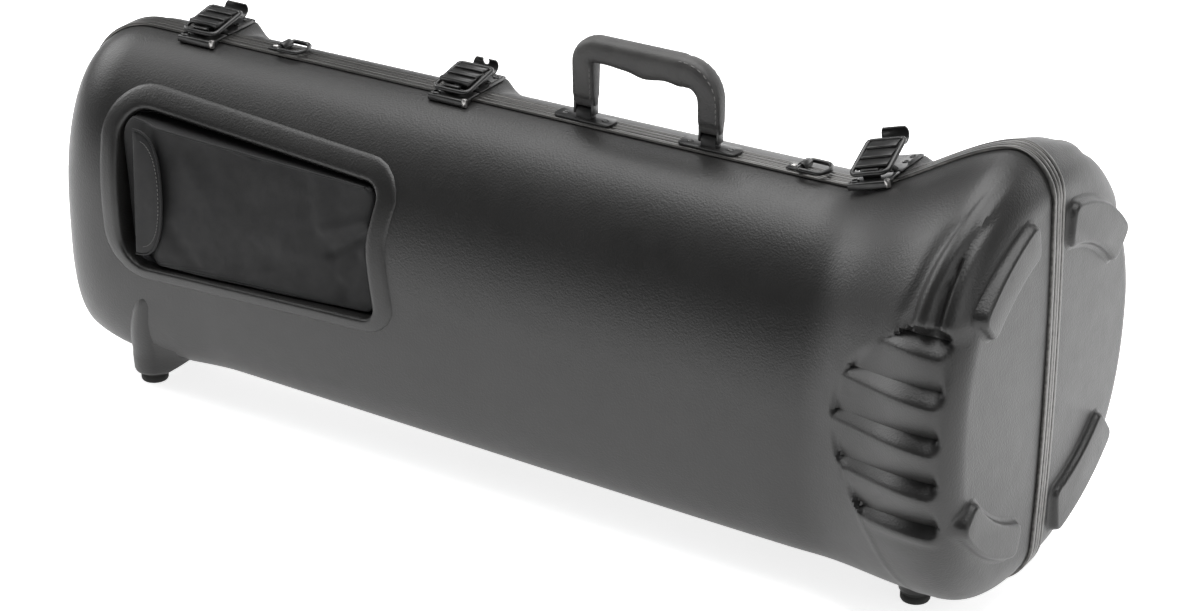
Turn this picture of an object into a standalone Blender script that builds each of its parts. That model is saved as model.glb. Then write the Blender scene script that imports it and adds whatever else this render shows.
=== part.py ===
"""Hard moulded trombone case: two shells in an aluminium valance, three draw latches, carrying
handle, two strap rings, feet, an outside pocket with its pouch, hinges and a fitted foam inside.

Frame: X runs along the case with the bell end at +X, the parting plane is Y = 0 with the front
half (the lid, with the outside pocket) at -Y, and Z is up. The case stands on its feet at Z = 0.
"""
import bpy
import bmesh
from math import atan2, ceil, cos, pi, radians, sin, sqrt, tan
from mathutils import Matrix, Vector

MM = 0.001

# Outline of the case
CASE_LENGTH = 941.5 * MM
TOP_HEIGHT = 324.3 * MM
BELL_RISE = 65.5 * MM
SMALL_END_UNDERSIDE = 19.8 * MM
BELL_END_UNDERSIDE = 9.8 * MM
SMALL_END_DEPTH = 95.5 * MM
NECK_DEPTH = 118.0 * MM
FRONT_BELL_DEPTH = 172.0 * MM
REAR_BELL_DEPTH = 181.0 * MM
TOP_FLARE_START = 278.0 * MM
TOP_FLARE_LENGTH = 172.0 * MM
SIDE_FLARE_START = 312.0 * MM
SIDE_FLARE_LENGTH = 130.0 * MM
SMALL_END_REACH = 92.0 * MM
SMALL_END_TOP_RADIUS = 71.0 * MM
SMALL_END_LOW_RADIUS = 56.0 * MM
BELL_EDGE_RADIUS = 42.0 * MM
BELL_SIDE_RADIUS = 28.0 * MM
BELL_FACE_CROWN = 3.0 * MM
SHELL_WALL = 3.0 * MM

# Roundness of a cross-section: 2 is an ellipse and more is squarer
SMALL_END_POWER_SHARE = 2.4
UPPER_POWER_SHARE = 2.2
SMALL_LOWER_POWER_SHARE = 2.5
NECK_LOWER_POWER_SHARE = 3.0
FRONT_BELL_UPPER_POWER_SHARE = 2.3
REAR_BELL_UPPER_POWER_SHARE = 1.8
BELL_LOWER_POWER_SHARE = 2.4

# Clearances
TOUCH_GAP = 0.3 * MM
RUNNING_GAP = 0.4 * MM
OVERRUN = 1.0 * MM

# Valance, the aluminium channel that holds each shell's edge
VALANCE_WIDTH = 10.3 * MM
VALANCE_PROUD = 2.5 * MM
VALANCE_WEB = 1.7 * MM
VALANCE_LIP = 1.2 * MM
VALANCE_LIP_WIDTH = 6.0 * MM
VALANCE_LIP_ROOM = 1.6 * MM

# Outside pocket
POCKET_LEFT = -377.0 * MM
POCKET_RIGHT = -104.0 * MM
POCKET_LOW = 142.0 * MM
POCKET_HIGH = 270.0 * MM
POCKET_SMALL_RADIUS = 14.0 * MM
POCKET_LARGE_RADIUS = 30.0 * MM
POCKET_WAIST = 6.0 * MM
POCKET_FLOOR = 62.0 * MM
POCKET_RIM_RADIUS = 9.0 * MM
POCKET_RIM_PROUD = 4.5 * MM
POCKET_RIM_OFFSET = 8.0 * MM

# Stepped ribs on the flare
RIB_COUNT = 5
RIB_LOWEST = 100.0 * MM
RIB_PITCH = 38.5 * MM
RIB_BASE_DEPTH = 121.0 * MM
RIB_STEP = 32.0 * MM
RIB_RIGHT = 447.0 * MM
RIB_LEFT_ROOM = 160.0 * MM

# Raised bumpers on the bell end: centre height, inner radius, outer radius, start and end angle
BUMPER_PROUD = 4.5 * MM
BUMPER_CHAMFER = 2.5 * MM
FRONT_HIGH_BUMPER = (150.0 * MM, 172.0 * MM, 206.0 * MM, 13.0, 43.0)
FRONT_LOW_BUMPER = (252.0 * MM, 168.0 * MM, 198.0 * MM, 15.0, 52.0)
REAR_HIGH_BUMPER = (152.0 * MM, 152.0 * MM, 188.0 * MM, 7.0, 48.0)
REAR_LOW_BUMPER = (242.0 * MM, 158.0 * MM, 200.0 * MM, 8.0, 42.0)

# Feet
FOOT_RADIUS = 12.5 * MM
FOOT_HEIGHT = 10.0 * MM
FOOT_CHAMFER = 2.0 * MM
FOOT_SIDE = 56.0 * MM
SMALL_END_FOOT = -381.0 * MM
BELL_END_FOOT = 393.0 * MM
PILLAR_CENTRE = -374.0 * MM
PILLAR_HALF_WIDTH = 22.0 * MM
PILLAR_FACE = 77.0 * MM
PILLAR_BACK = 36.0 * MM
PILLAR_LEAN = 12.0 * MM
PILLAR_TOP = 112.0 * MM
PILLAR_CORNER = 13.0 * MM
BOSS_RADIUS = 14.0 * MM
BOSS_TOP = 34.0 * MM

# Latches
LATCH_PLACES = (-343.0 * MM, -79.0 * MM, 306.0 * MM)
LATCH_LIFTS = (0.0, 0.0, 16.0)
LATCH_HOLES = (False, True, False)
LATCH_HALF_WIDTH = 18.5 * MM
LATCH_PLATE = 1.6 * MM
LATCH_SEAT_LIFT = 0.6 * MM
KEEPER_FRONT = 24.0 * MM
KEEPER_FLANGE_DROP = 2.6 * MM
KEEPER_BACK = 1.2 * MM
HOOK_WALL_FRONT = 14.6 * MM
HOOK_THICKNESS = 1.5 * MM
HOOK_HALF_WIDTH = 8.0 * MM
HOOK_HEIGHT = 11.0 * MM
HOOK_LIP = 2.6 * MM
BASE_START = 1.2 * MM
BASE_END = 66.0 * MM
EAR_THICKNESS = 1.5 * MM
EAR_INSIDE = 11.6 * MM
EAR_RADIUS = 3.0 * MM
EAR_FOOT = 9.0 * MM
PIVOT_FORWARD = 5.0 * MM
PIVOT_HEIGHT = 9.0 * MM
PIVOT_RADIUS = 1.5 * MM
PIVOT_HALF_LENGTH = 13.9 * MM
LINK_PIVOT_BACK = 24.0 * MM
LINK_PIVOT_HEIGHT = 14.0 * MM
LINK_BAR_FORWARD = 17.8 * MM
LINK_BAR_HEIGHT = 6.0 * MM
LINK_BAR_RADIUS = 2.0 * MM
LINK_HALF_WIDTH = 16.6 * MM
LINK_CORNER = 6.0 * MM
LEVER_HALF_WIDTH = 13.4 * MM
LEVER_CHEEK = 1.5 * MM
LEVER_CHEEK_INSIDE = 9.6 * MM
LEVER_SHEET = 1.8 * MM
LEVER_FRONT = 8.4 * MM
LEVER_FRONT_HEIGHT = 13.3 * MM
LEVER_STEP_LENGTH = 13.0 * MM
LEVER_STEP_RISE = 2.6 * MM
LEVER_STEP_SLOPE = 1.4 * MM
LEVER_STEPS = 3
TAB_HALF_WIDTH = 11.0 * MM
TAB_RADIUS = 7.0 * MM
TAB_HOLE_RADIUS = 3.2 * MM
LATCH_PAD_END = 76.0 * MM
LATCH_PAD_MARGIN = 5.0 * MM
LATCH_PAD_DEPTH = 40.0 * MM
LINK_TURN_SHARE = 0.6

# Carrying handle
HANDLE_CENTRE = 104.0 * MM
HANDLE_HALF_SPAN = 59.5 * MM
HANDLE_PIN_LIFT = 7.6 * MM
HANDLE_LEG_START = 9.6 * MM
HANDLE_TOP_LIFT = 57.0 * MM
HANDLE_CORNER = 22.0 * MM
HANDLE_LEG_WIDTH = 10.5 * MM
HANDLE_LEG_THICKNESS = 6.6 * MM
HANDLE_GRIP_WIDTH = 10.5 * MM
HANDLE_GRIP_THICKNESS = 10.5 * MM
HANDLE_FINGER_WAVE = 2.0 * MM
BRACKET_LENGTH = 55.0 * MM
BRACKET_WIDTH = 17.0 * MM
BRACKET_PLATE = 2.0 * MM
BRACKET_KNUCKLE = 7.0 * MM
BRACKET_KNUCKLE_RADIUS = 4.6 * MM
HANDLE_PIN_RADIUS = 2.0 * MM
STIRRUP_THICKNESS = 2.0 * MM
STIRRUP_RADIUS = 4.4 * MM

# Strap rings
RING_PLACES = (-262.0 * MM, 250.5 * MM)
RING_WIRE = 2.0 * MM
RING_HALF_WIDTH = 12.0 * MM
RING_REACH = 24.0 * MM
CLIP_LENGTH = 14.0 * MM
CLIP_HALF_WIDTH = 7.0 * MM
CLIP_BARREL = 4.0 * MM

# Hinges under the case
HINGE_PLACES = (-300.0 * MM, -20.0 * MM, 260.0 * MM)
HINGE_LENGTH = 50.0 * MM
HINGE_BARREL = 2.7 * MM
HINGE_PIN = 1.2 * MM
HINGE_LEAF_START = 3.4 * MM
HINGE_LEAF_END = 9.6 * MM
HINGE_JOINT_GAP = 0.5 * MM

# Pouch in the pocket
POUCH_ROOM = 3.0 * MM
POUCH_TOP_ROOM = 9.0 * MM
POUCH_DEPTH = 27.0 * MM
POUCH_ROUND = 8.0 * MM
FLAP_LEFT = -359.0 * MM
FLAP_WIDTH = 29.0 * MM
FLAP_LOW = 149.0 * MM
FLAP_HIGH = 259.0 * MM
FLAP_THICKNESS = 4.0 * MM

# Foam inside
FOAM_INSET = 7.4 * MM
FOAM_SETBACK = 0.8 * MM
FRONT_FOAM_THICKNESS = 14.0 * MM
SLIDE_POCKET_LEFT = -402.0 * MM
SLIDE_POCKET_RIGHT = 395.0 * MM
SLIDE_POCKET_LOW = 236.0 * MM
SLIDE_POCKET_HIGH = 294.0 * MM
SLIDE_POCKET_DEPTH = 48.0 * MM
BELL_POCKET_HEIGHT = 196.0 * MM
BELL_POCKET_RIGHT = 448.0 * MM
BELL_POCKET_RADIUS = 113.0 * MM
BELL_THROAT = 330.0 * MM
BELL_THROAT_RADIUS = 62.0 * MM
BELL_STEM = 60.0 * MM
BELL_STEM_RADIUS = 26.0 * MM
BELL_STEM_END = -330.0 * MM
KIT_POCKET_LEFT = -400.0 * MM
KIT_POCKET_RIGHT = -150.0 * MM
KIT_POCKET_LOW = 50.0 * MM
KIT_POCKET_HIGH = 150.0 * MM
KIT_POCKET_DEPTH = 70.0 * MM
MOUTHPIECE_PLACE = -90.0 * MM
MOUTHPIECE_HEIGHT = 90.0 * MM
MOUTHPIECE_RADIUS = 17.0 * MM
MOUTHPIECE_LENGTH = 92.0 * MM

LEFT_END = -CASE_LENGTH / 2
RIGHT_END = CASE_LENGTH / 2
PARTING = TOUCH_GAP / 2
SHELL_RIM = PARTING + VALANCE_WEB + TOUCH_GAP
VALANCE_TOP = TOP_HEIGHT + VALANCE_PROUD

# Facets
BODY_STEPS = 26
INNER_STEPS = 14
ROUND_STEPS = 12

MATERIALS = {
    "shell_plastic": ((0.030, 0.029, 0.028), 0.42, 0.0),
    "valance_metal": ((0.060, 0.058, 0.055), 0.38, 0.9),
    "latch_steel": ((0.016, 0.015, 0.014), 0.34, 0.7),
    "handle_leather": ((0.020, 0.020, 0.020), 0.55, 0.0),
    "foot_rubber": ((0.020, 0.020, 0.018), 0.75, 0.0),
    "pouch_nylon": ((0.006, 0.006, 0.006), 0.85, 0.0),
    "lining_plush": ((0.030, 0.030, 0.034), 0.95, 0.0),
}


def clear_scene():
    for old in list(bpy.data.objects):
        bpy.data.objects.remove(old, do_unlink=True)


def make_materials():
    made = {}
    for name, (colour, roughness, metallic) in MATERIALS.items():
        material = bpy.data.materials.new(name)
        material.use_nodes = True
        shader = material.node_tree.nodes["Principled BSDF"]
        shader.inputs["Base Color"].default_value = (*colour, 1.0)
        shader.inputs["Roughness"].default_value = roughness
        shader.inputs["Metallic"].default_value = metallic
        made[name] = material
    return made


def place(bm, name, material, parent=None):
    """Turn a bmesh into a named object, with its faces pointing out."""
    bmesh.ops.recalc_face_normals(bm, faces=bm.faces)
    mesh = bpy.data.meshes.new(name)
    bm.to_mesh(mesh)
    bm.free()
    mesh.shade_smooth()
    mesh.set_sharp_from_angle(angle=radians(35))
    made = bpy.data.objects.new(name, mesh)
    bpy.context.scene.collection.objects.link(made)
    if material:
        mesh.materials.append(bpy.data.materials[material])
    made.parent = parent
    return made


def empty(name, location, tilt=0.0, parent=None):
    """An axis or frame that other pieces hang on; tilt turns it about Y."""
    made = bpy.data.objects.new(name, None)
    made.location = location
    made.rotation_euler = (0.0, tilt, 0.0)
    made.parent = parent
    bpy.context.scene.collection.objects.link(made)
    return made


def cutter(bm, name, parent=None):
    """A guide solid for a Boolean, left out of the part."""
    made = place(bm, name, None, parent)
    made.hide_render = True
    made.display_type = "WIRE"
    return made


def boolean(target, tool, operation):
    modifier = target.modifiers.new(tool.name, "BOOLEAN")
    modifier.operation = operation
    modifier.solver = "EXACT"
    modifier.object = tool
    return modifier


def loft(rings, closed=False):
    """Skin a list of rings, each a closed loop of points, and cap the ends unless closed."""
    bm = bmesh.new()
    loops = [[bm.verts.new(p) for p in ring] for ring in rings]
    count = len(loops[0])
    pairs = list(zip(loops, loops[1:]))
    if closed:
        pairs.append((loops[-1], loops[0]))
    for a, b in pairs:
        for k in range(count):
            bm.faces.new((a[k], a[(k + 1) % count], b[(k + 1) % count], b[k]))
    if not closed:
        bm.faces.new(loops[0])
        bm.faces.new(list(reversed(loops[-1])))
    return bm


def prism(outline, low, high, axis="Y"):
    """Extrude a flat outline between two places on an axis: outline pairs are the other two axes."""
    def point(pair, value):
        a, b = pair
        return {"X": (value, a, b), "Y": (a, value, b), "Z": (a, b, value)}[axis]
    return loft([[point(p, low) for p in outline], [point(p, high) for p in outline]])


def box_outline(low_a, high_a, low_b, high_b):
    return [(low_a, low_b), (high_a, low_b), (high_a, high_b), (low_a, high_b)]


def box(low, high):
    return prism(box_outline(low[0], high[0], low[1], high[1]), low[2], high[2], "Z")


def circle(radius, count=ROUND_STEPS, centre=(0.0, 0.0), reach=1.0):
    """Points of a round outline; reach 1 has its corners on the circle."""
    return [
        (centre[0] + radius * reach * cos(2 * pi * k / count), centre[1] + radius * reach * sin(2 * pi * k / count))
        for k in range(count)
    ]


def outer_circle(radius, count=ROUND_STEPS, centre=(0.0, 0.0)):
    """Points of a round outline whose flats, not its corners, lie on the circle."""
    return circle(radius, count, centre, 1 / cos(pi / count))


def rounded_outline(corners):
    """An outline from corners given as (a, b, radius), each rounded by an arc."""
    points = []
    count = len(corners)
    for k, (a, b, radius) in enumerate(corners):
        here = Vector((a, b))
        before = (Vector(corners[k - 1][:2]) - here).normalized()
        after = (Vector(corners[(k + 1) % count][:2]) - here).normalized()
        half = before.angle(after) / 2
        if radius <= 0:
            points.append(tuple(here))
            continue
        centre = here + (before + after).normalized() * (radius / sin(half))
        start = here + before * (radius / tan(half)) - centre
        end = here + after * (radius / tan(half)) - centre
        turn = start.angle_signed(end)
        steps = max(2, ceil(abs(turn) / radians(24)))
        for s in range(steps + 1):
            points.append(tuple(centre + Matrix.Rotation(-turn * s / steps, 2) @ start))
    return points


def bevel_edges(bm, width, segments=1, sharper_than=radians(30)):
    edges = [e for e in bm.edges if e.is_manifold and e.calc_face_angle() > sharper_than]
    bmesh.ops.bevel(bm, geom=edges, offset=width, segments=segments, affect="EDGES", profile=0.5)
    return bm


def join(bm, other):
    """Add another bmesh's faces to this one."""
    mesh = bpy.data.meshes.new("joined")
    other.to_mesh(mesh)
    other.free()
    bm.from_mesh(mesh)
    bpy.data.meshes.remove(mesh)
    return bm


# The hull


def ease(t):
    t = min(max(t, 0.0), 1.0)
    return t * t * (3 - 2 * t)


def shrink(distance, radius):
    """How far a quarter round of this radius has drawn in, that distance past its start."""
    k = min(max(distance / radius, 0.0), 1.0)
    return radius * (1 - sqrt(1 - k * k))


def blend_value(a, b, t):
    return a + (b - a) * t


def section(x, side, inset):
    """Half depth, top and bottom of the hull at x, and its upper and lower roundness."""
    left = LEFT_END + inset
    right = RIGHT_END - inset
    along = (x - LEFT_END) / CASE_LENGTH
    taper = (x - LEFT_END) / (TOP_FLARE_START - LEFT_END)
    bell_depth = FRONT_BELL_DEPTH if side < 0 else REAR_BELL_DEPTH
    neck = blend_value(SMALL_END_DEPTH, NECK_DEPTH, min(taper, 1.0))
    flare = ease((x - SIDE_FLARE_START) / SIDE_FLARE_LENGTH)
    depth = blend_value(neck, bell_depth, flare) - inset
    top = TOP_HEIGHT + BELL_RISE * ease((x - TOP_FLARE_START) / TOP_FLARE_LENGTH) - inset
    low = blend_value(SMALL_END_UNDERSIDE, BELL_END_UNDERSIDE, along) + inset
    upper_end = FRONT_BELL_UPPER_POWER_SHARE if side < 0 else REAR_BELL_UPPER_POWER_SHARE
    upper = blend_value(UPPER_POWER_SHARE, upper_end, flare)
    lower = blend_value(SMALL_LOWER_POWER_SHARE, NECK_LOWER_POWER_SHARE, ease(taper))
    lower = blend_value(lower, BELL_LOWER_POWER_SHARE, flare)
    reach = SMALL_END_REACH - inset
    if x < left + reach:
        k = min((left + reach - x) / reach, 1.0)
        depth *= (1 - k ** SMALL_END_POWER_SHARE) ** (1 / SMALL_END_POWER_SHARE)
    top -= shrink(left + SMALL_END_TOP_RADIUS - inset - x, SMALL_END_TOP_RADIUS - inset)
    low += shrink(left + SMALL_END_LOW_RADIUS - inset - x, SMALL_END_LOW_RADIUS - inset)
    edge = BELL_EDGE_RADIUS - inset
    top -= shrink(x - right + edge, edge)
    low += shrink(x - right + edge, edge)
    side_edge = BELL_SIDE_RADIUS - inset
    depth -= shrink(x - right + side_edge, side_edge)
    return depth, top, low, upper, lower


def hull_point(x, turn, side, inset, spread=1.0, crown=0.0):
    """A point of the hull; turn runs from 0 at the top to pi at the bottom."""
    depth, top, low, upper, lower = section(x, side, inset)
    power = upper if turn < pi / 2 else lower
    reach = abs(sin(turn)) ** (2 / power) * depth * spread
    lift = abs(cos(turn)) ** (2 / power) * (1 if turn < pi / 2 else -1)
    height = (top + low) / 2 + (top - low) / 2 * lift
    return Vector((x + crown * sin(turn) ** 2, side * reach, height))


def turned_pair(pair, angle):
    """A flat vector turned about X, from Y towards Z."""
    return Vector((pair.x * cos(angle) - pair.y * sin(angle), pair.x * sin(angle) + pair.y * cos(angle)))


def surface_depth(x, z, side=-1, inset=0.0):
    """How far the hull's skin lies from the parting plane at this x and height."""
    depth, top, low, upper, lower = section(x, side, inset)
    middle = (top + low) / 2
    power = upper if z > middle else lower
    k = min(abs(z - middle) / ((top - low) / 2), 1.0)
    return depth * (1 - k ** power) ** (1 / power)


def stations(inset, fine):
    """Places along X where the hull's rings lie, closer where it curves."""
    left = LEFT_END + inset
    right = RIGHT_END - inset
    reach = SMALL_END_REACH - inset
    edge = BELL_EDGE_RADIUS - inset
    end_steps, body_steps, flare_steps, edge_steps = (8, 5, 9, 6) if fine else (5, 2, 6, 4)
    places = [left + reach * (1 - cos(pi / 2 * k / end_steps)) for k in range(end_steps)]
    start = left + reach
    places += [blend_value(start, TOP_FLARE_START, k / body_steps) for k in range(body_steps)]
    finish = right - edge
    places += [blend_value(TOP_FLARE_START, finish, k / flare_steps) for k in range(flare_steps)]
    places += [finish + edge * sin(pi / 2 * k / edge_steps) for k in range(edge_steps + 1)]
    return places


def turns(steps):
    """Angles round half a section, with a close first and last one at the rim."""
    step = pi / steps
    close_share = 0.45
    middle = [step * k for k in range(1, steps)]
    return [0.0, close_share * step] + middle + [pi - close_share * step, pi]


def hull_rows(side, inset, rim, fine):
    steps = BODY_STEPS if fine else INNER_STEPS
    angles = turns(steps)
    rows = [[hull_point(x, t, side, inset) for t in angles] for x in stations(inset, fine)]
    right = RIGHT_END - inset
    cap_steps = 4 if fine else 2
    for k in range(1, cap_steps + 1):
        spread = 1 - k / cap_steps
        crown = BELL_FACE_CROWN * (1 - spread ** 2)
        rows.append([hull_point(right, t, side, inset, spread, crown) for t in angles])
    for row in rows:
        for p in row:
            p.y = side * max(abs(p.y), rim)
    return rows


def half_hull(side, inset, rim, fine):
    """A closed half of the hull, flat where it meets the parting plane at y = rim."""
    rows = hull_rows(side, inset, rim, fine)
    bm = bmesh.new()
    grid = [[bm.verts.new(p) for p in row] for row in rows]
    for a, b in zip(grid, grid[1:]):
        for k in range(len(a) - 1):
            bm.faces.new((a[k], a[k + 1], b[k + 1], b[k]))
    bmesh.ops.remove_doubles(bm, verts=bm.verts, dist=TOUCH_GAP / 10)
    bmesh.ops.dissolve_degenerate(bm, edges=bm.edges, dist=TOUCH_GAP / 10)
    rim_edges = [e for e in bm.edges if e.is_boundary]
    bmesh.ops.edgeloop_fill(bm, edges=rim_edges)
    return bm


def parting_outline():
    """The closed line where the two halves meet, seen from the side, as (x, z) pairs."""
    rows = hull_rows(1, 0.0, 0.0, True)
    sparse = 2
    top = [row[0] for row in rows[: -1]]
    right = rows[-1][::sparse]
    low = [row[-1] for row in reversed(rows[: -1])]
    left = rows[0][::-sparse]
    points = []
    for p in top + right + low + left:
        if not points or (Vector((p.x, p.z)) - points[-1]).length > TOUCH_GAP * 2:
            points.append(Vector((p.x, p.z)))
    while (points[0] - points[-1]).length < TOUCH_GAP * 2:
        points.pop()
    return points


def outward(points):
    """Outward directions at the corners of a closed outline that runs clockwise, scaled as a mitre."""
    count = len(points)
    found = []
    for k in range(count):
        before = (points[k] - points[k - 1]).normalized()
        after = (points[(k + 1) % count] - points[k]).normalized()
        normal = Vector((-(before + after).y, (before + after).x)).normalized()
        flat = Vector((-after.y, after.x))
        found.append(normal / max(normal.dot(flat), 0.5))
    return found


def offset_outline(outline, distance):
    """A closed outline moved out by a distance; it may run either way round."""
    points = [Vector(p) for p in outline]
    area = sum(points[k - 1].x * p.y - p.x * points[k - 1].y for k, p in enumerate(points))
    if area > 0:
        points.reverse()
    moved = [p + n * distance for p, n in zip(points, outward(points))]
    return [tuple(p) for p in moved]


# Shells


def pocket_outline():
    """The pocket's mouth seen from the front: large rounds on the left, a waisted right side."""
    middle = (POCKET_LOW + POCKET_HIGH) / 2
    waist_radius = (POCKET_HIGH - POCKET_LOW) / 2
    return rounded_outline([
        (POCKET_LEFT, POCKET_HIGH, POCKET_LARGE_RADIUS),
        (POCKET_RIGHT, POCKET_HIGH, POCKET_SMALL_RADIUS),
        (POCKET_RIGHT - POCKET_WAIST, middle, waist_radius),
        (POCKET_RIGHT, POCKET_LOW, POCKET_SMALL_RADIUS),
        (POCKET_LEFT, POCKET_LOW, POCKET_LARGE_RADIUS),
    ])


def pocket_rim():
    """A round bead that follows the skin round the pocket's mouth."""
    path = offset_outline(pocket_outline(), POCKET_RIM_OFFSET)
    centres = []
    for x, z in path:
        depth = surface_depth(x, z) - (POCKET_RIM_RADIUS - POCKET_RIM_PROUD)
        centres.append(Vector((x, -depth, z)))
    rings = []
    count = len(centres)
    for k, centre in enumerate(centres):
        along = (centres[(k + 1) % count] - centres[k - 1]).normalized()
        out = Vector((0.0, -1.0, 0.0))
        across = along.cross(out).normalized()
        out = across.cross(along).normalized()
        rings.append([centre + across * a + out * b for a, b in circle(POCKET_RIM_RADIUS, 10)])
    return loft(rings, closed=True)


def rib_comb(side):
    """Cuts the flare back into steps, each with a level ledge and a face that leans in below."""
    outside = RIB_BASE_DEPTH + 4 * RIB_STEP
    outline = []
    for k in range(RIB_COUNT):
        ledge = RIB_LOWEST + RIB_PITCH * k
        outline.append((side * RIB_BASE_DEPTH, ledge))
        outline.append((side * (RIB_BASE_DEPTH + RIB_STEP), ledge + RIB_PITCH))
    outline.append((side * outside, RIB_LOWEST + RIB_PITCH * RIB_COUNT))
    outline.append((side * outside, RIB_LOWEST))
    return prism(outline, RIB_RIGHT - RIB_LEFT_ROOM, RIB_RIGHT, "X")


def rib_room(side, clear=0.0):
    """The plain room that the ribs need from the hollow inside, widened by a clearance."""
    outside = RIB_BASE_DEPTH + 4 * RIB_STEP
    wall = SHELL_WALL + clear
    low = (RIB_RIGHT - RIB_LEFT_ROOM - wall, RIB_BASE_DEPTH - wall, RIB_LOWEST - wall)
    high = (RIB_RIGHT + wall, outside, RIB_LOWEST + RIB_PITCH * RIB_COUNT + wall)
    low, high = list(low), list(high)
    low[1], high[1] = sorted((side * low[1], side * high[1]))
    return box(low, high)


def bumper(side, high, spec):
    """An arched bumper on the bell end, chamfered at its outer face."""
    centre, inner, outer, start, end = spec
    up = 1 if high else -1
    steps = 7

    def arc(radius, trim):
        places = []
        for k in range(steps + 1):
            angle = radians(blend_value(start, end, k / steps))
            if k == 0:
                angle += trim / radius
            if k == steps:
                angle -= trim / radius
            places.append((side * radius * sin(angle), centre + up * radius * cos(angle)))
        return places

    rings = []
    face = RIGHT_END + BELL_FACE_CROWN + BUMPER_PROUD
    for x, trim in (
        (RIGHT_END - BELL_EDGE_RADIUS / 2, 0.0),
        (face - BUMPER_CHAMFER, 0.0),
        (face, BUMPER_CHAMFER),
    ):
        outline = arc(inner + trim, trim) + arc(outer - trim, trim)[::-1]
        rings.append([(x, y, z) for y, z in outline])
    return loft(rings)


def pillar(side):
    """The moulded leg at the small end, a rounded column that runs up into the shell."""
    rings = []
    left, right = PILLAR_CENTRE - PILLAR_HALF_WIDTH, PILLAR_CENTRE + PILLAR_HALF_WIDTH
    for z, lean, taper in (
        (FOOT_HEIGHT + TOUCH_GAP, 0.0, 0.0),
        (PILLAR_TOP, PILLAR_LEAN, PILLAR_CORNER / 2),
    ):
        outline = rounded_outline([
            (left + taper, side * PILLAR_BACK, 0.0),
            (right - taper, side * PILLAR_BACK, 0.0),
            (right - taper, side * (PILLAR_FACE + lean), PILLAR_CORNER),
            (left + taper, side * (PILLAR_FACE + lean), PILLAR_CORNER),
        ])
        rings.append([(x, y, z) for x, y in outline])
    return loft(rings)


def latch_seat(place):
    """Height and slope of the plane that a latch's plates lie on."""
    half = LATCH_HALF_WIDTH
    left = section(place - half, 1, 0.0)[1]
    right = section(place + half, 1, 0.0)[1]
    tilt = -atan2(right - left, 2 * half)
    height = (left + right) / 2 + VALANCE_PROUD + TOUCH_GAP
    return height, tilt


def latch_pad(place):
    """The moulded block behind the valance that carries a latch's base plate."""
    height, tilt = latch_seat(place)
    half = LATCH_HALF_WIDTH + LATCH_PAD_MARGIN
    start = VALANCE_WIDTH + TOUCH_GAP + OVERRUN
    low = -LATCH_PAD_DEPTH
    profile = rounded_outline([
        (start, low, 0.0),
        (start, -TOUCH_GAP, 0.0),
        (LATCH_PAD_END, -TOUCH_GAP, LATCH_PAD_MARGIN),
        (LATCH_PAD_END + LATCH_PAD_MARGIN, low * 2, 0.0),
        (LATCH_PAD_END / 2, low * 2, 0.0),
    ])
    bm = prism(profile, -half, half, "X")
    bm.transform(Matrix.Translation((place, 0.0, height)) @ Matrix.Rotation(tilt, 4, "Y"))
    return bm


def make_shell(side, name):
    shell = place(half_hull(side, 0.0, SHELL_RIM, True), name, "shell_plastic")
    hollow = cutter(half_hull(side, SHELL_WALL, SHELL_RIM - OVERRUN, False), name + "_hollow")
    if side < 0:
        boolean(shell, cutter(pocket_rim(), "pocket_rim"), "UNION")
        specs = ((True, FRONT_HIGH_BUMPER), (False, FRONT_LOW_BUMPER))
    else:
        specs = ((True, REAR_HIGH_BUMPER), (False, REAR_LOW_BUMPER))
        for number, x in enumerate(LATCH_PLACES, 1):
            boolean(shell, cutter(latch_pad(x), f"latch_pad_{number}"), "UNION")
    for high, spec in specs:
        level = "high" if high else "low"
        boolean(shell, cutter(bumper(side, high, spec), f"{name}_bumper_{level}"), "UNION")
    boolean(shell, cutter(pillar(side), name + "_pillar"), "UNION")
    boss = prism(circle(BOSS_RADIUS, ROUND_STEPS, (BELL_END_FOOT, side * FOOT_SIDE)),
                 FOOT_HEIGHT + TOUCH_GAP, BOSS_TOP, "Z")
    boolean(shell, cutter(boss, name + "_boss"), "UNION")
    boolean(shell, cutter(rib_comb(side), name + "_comb"), "DIFFERENCE")
    boolean(hollow, cutter(rib_room(side), name + "_rib_room"), "DIFFERENCE")
    if side < 0:
        mouth = pocket_outline()
        outside = -FRONT_BELL_DEPTH
        tub = prism(mouth, outside, -POCKET_FLOOR, "Y")
        room = prism(offset_outline(mouth, SHELL_WALL), outside, -POCKET_FLOOR + SHELL_WALL, "Y")
        boolean(shell, cutter(tub, "pocket_tub"), "DIFFERENCE")
        boolean(hollow, cutter(room, "pocket_room"), "DIFFERENCE")
    boolean(shell, hollow, "DIFFERENCE")
    return shell


def make_valance(side, name):
    """The channel that grips a shell's edge all round: an outer flange, a web and an inner lip."""
    line = parting_outline()
    normals = outward(line)
    inner = -SHELL_WALL - VALANCE_LIP_ROOM
    profile = [
        (VALANCE_PROUD, PARTING),
        (VALANCE_PROUD, VALANCE_WIDTH),
        (TOUCH_GAP, VALANCE_WIDTH),
        (TOUCH_GAP, PARTING + VALANCE_WEB),
        (inner, PARTING + VALANCE_WEB),
        (inner, VALANCE_LIP_WIDTH),
        (inner - VALANCE_LIP, VALANCE_LIP_WIDTH),
        (inner - VALANCE_LIP, PARTING),
    ]
    rings = []
    for p, n in zip(line, normals):
        ring = []
        for out, y in profile:
            q = p + n * out
            ring.append((q.x, side * y, q.y))
        rings.append(ring)
    return place(loft(rings, closed=True), name, "valance_metal")


# Feet


def make_foot(name, x, y):
    rings = []
    for z, radius in (
        (0.0, FOOT_RADIUS - FOOT_CHAMFER),
        (FOOT_CHAMFER, FOOT_RADIUS),
        (FOOT_HEIGHT, FOOT_RADIUS),
    ):
        rings.append([(a, b, z) for a, b in circle(radius, 2 * ROUND_STEPS)])
    bm = loft(rings)
    foot = place(bm, name, "foot_rubber")
    foot.location = (x, y, 0.0)
    return foot


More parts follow.
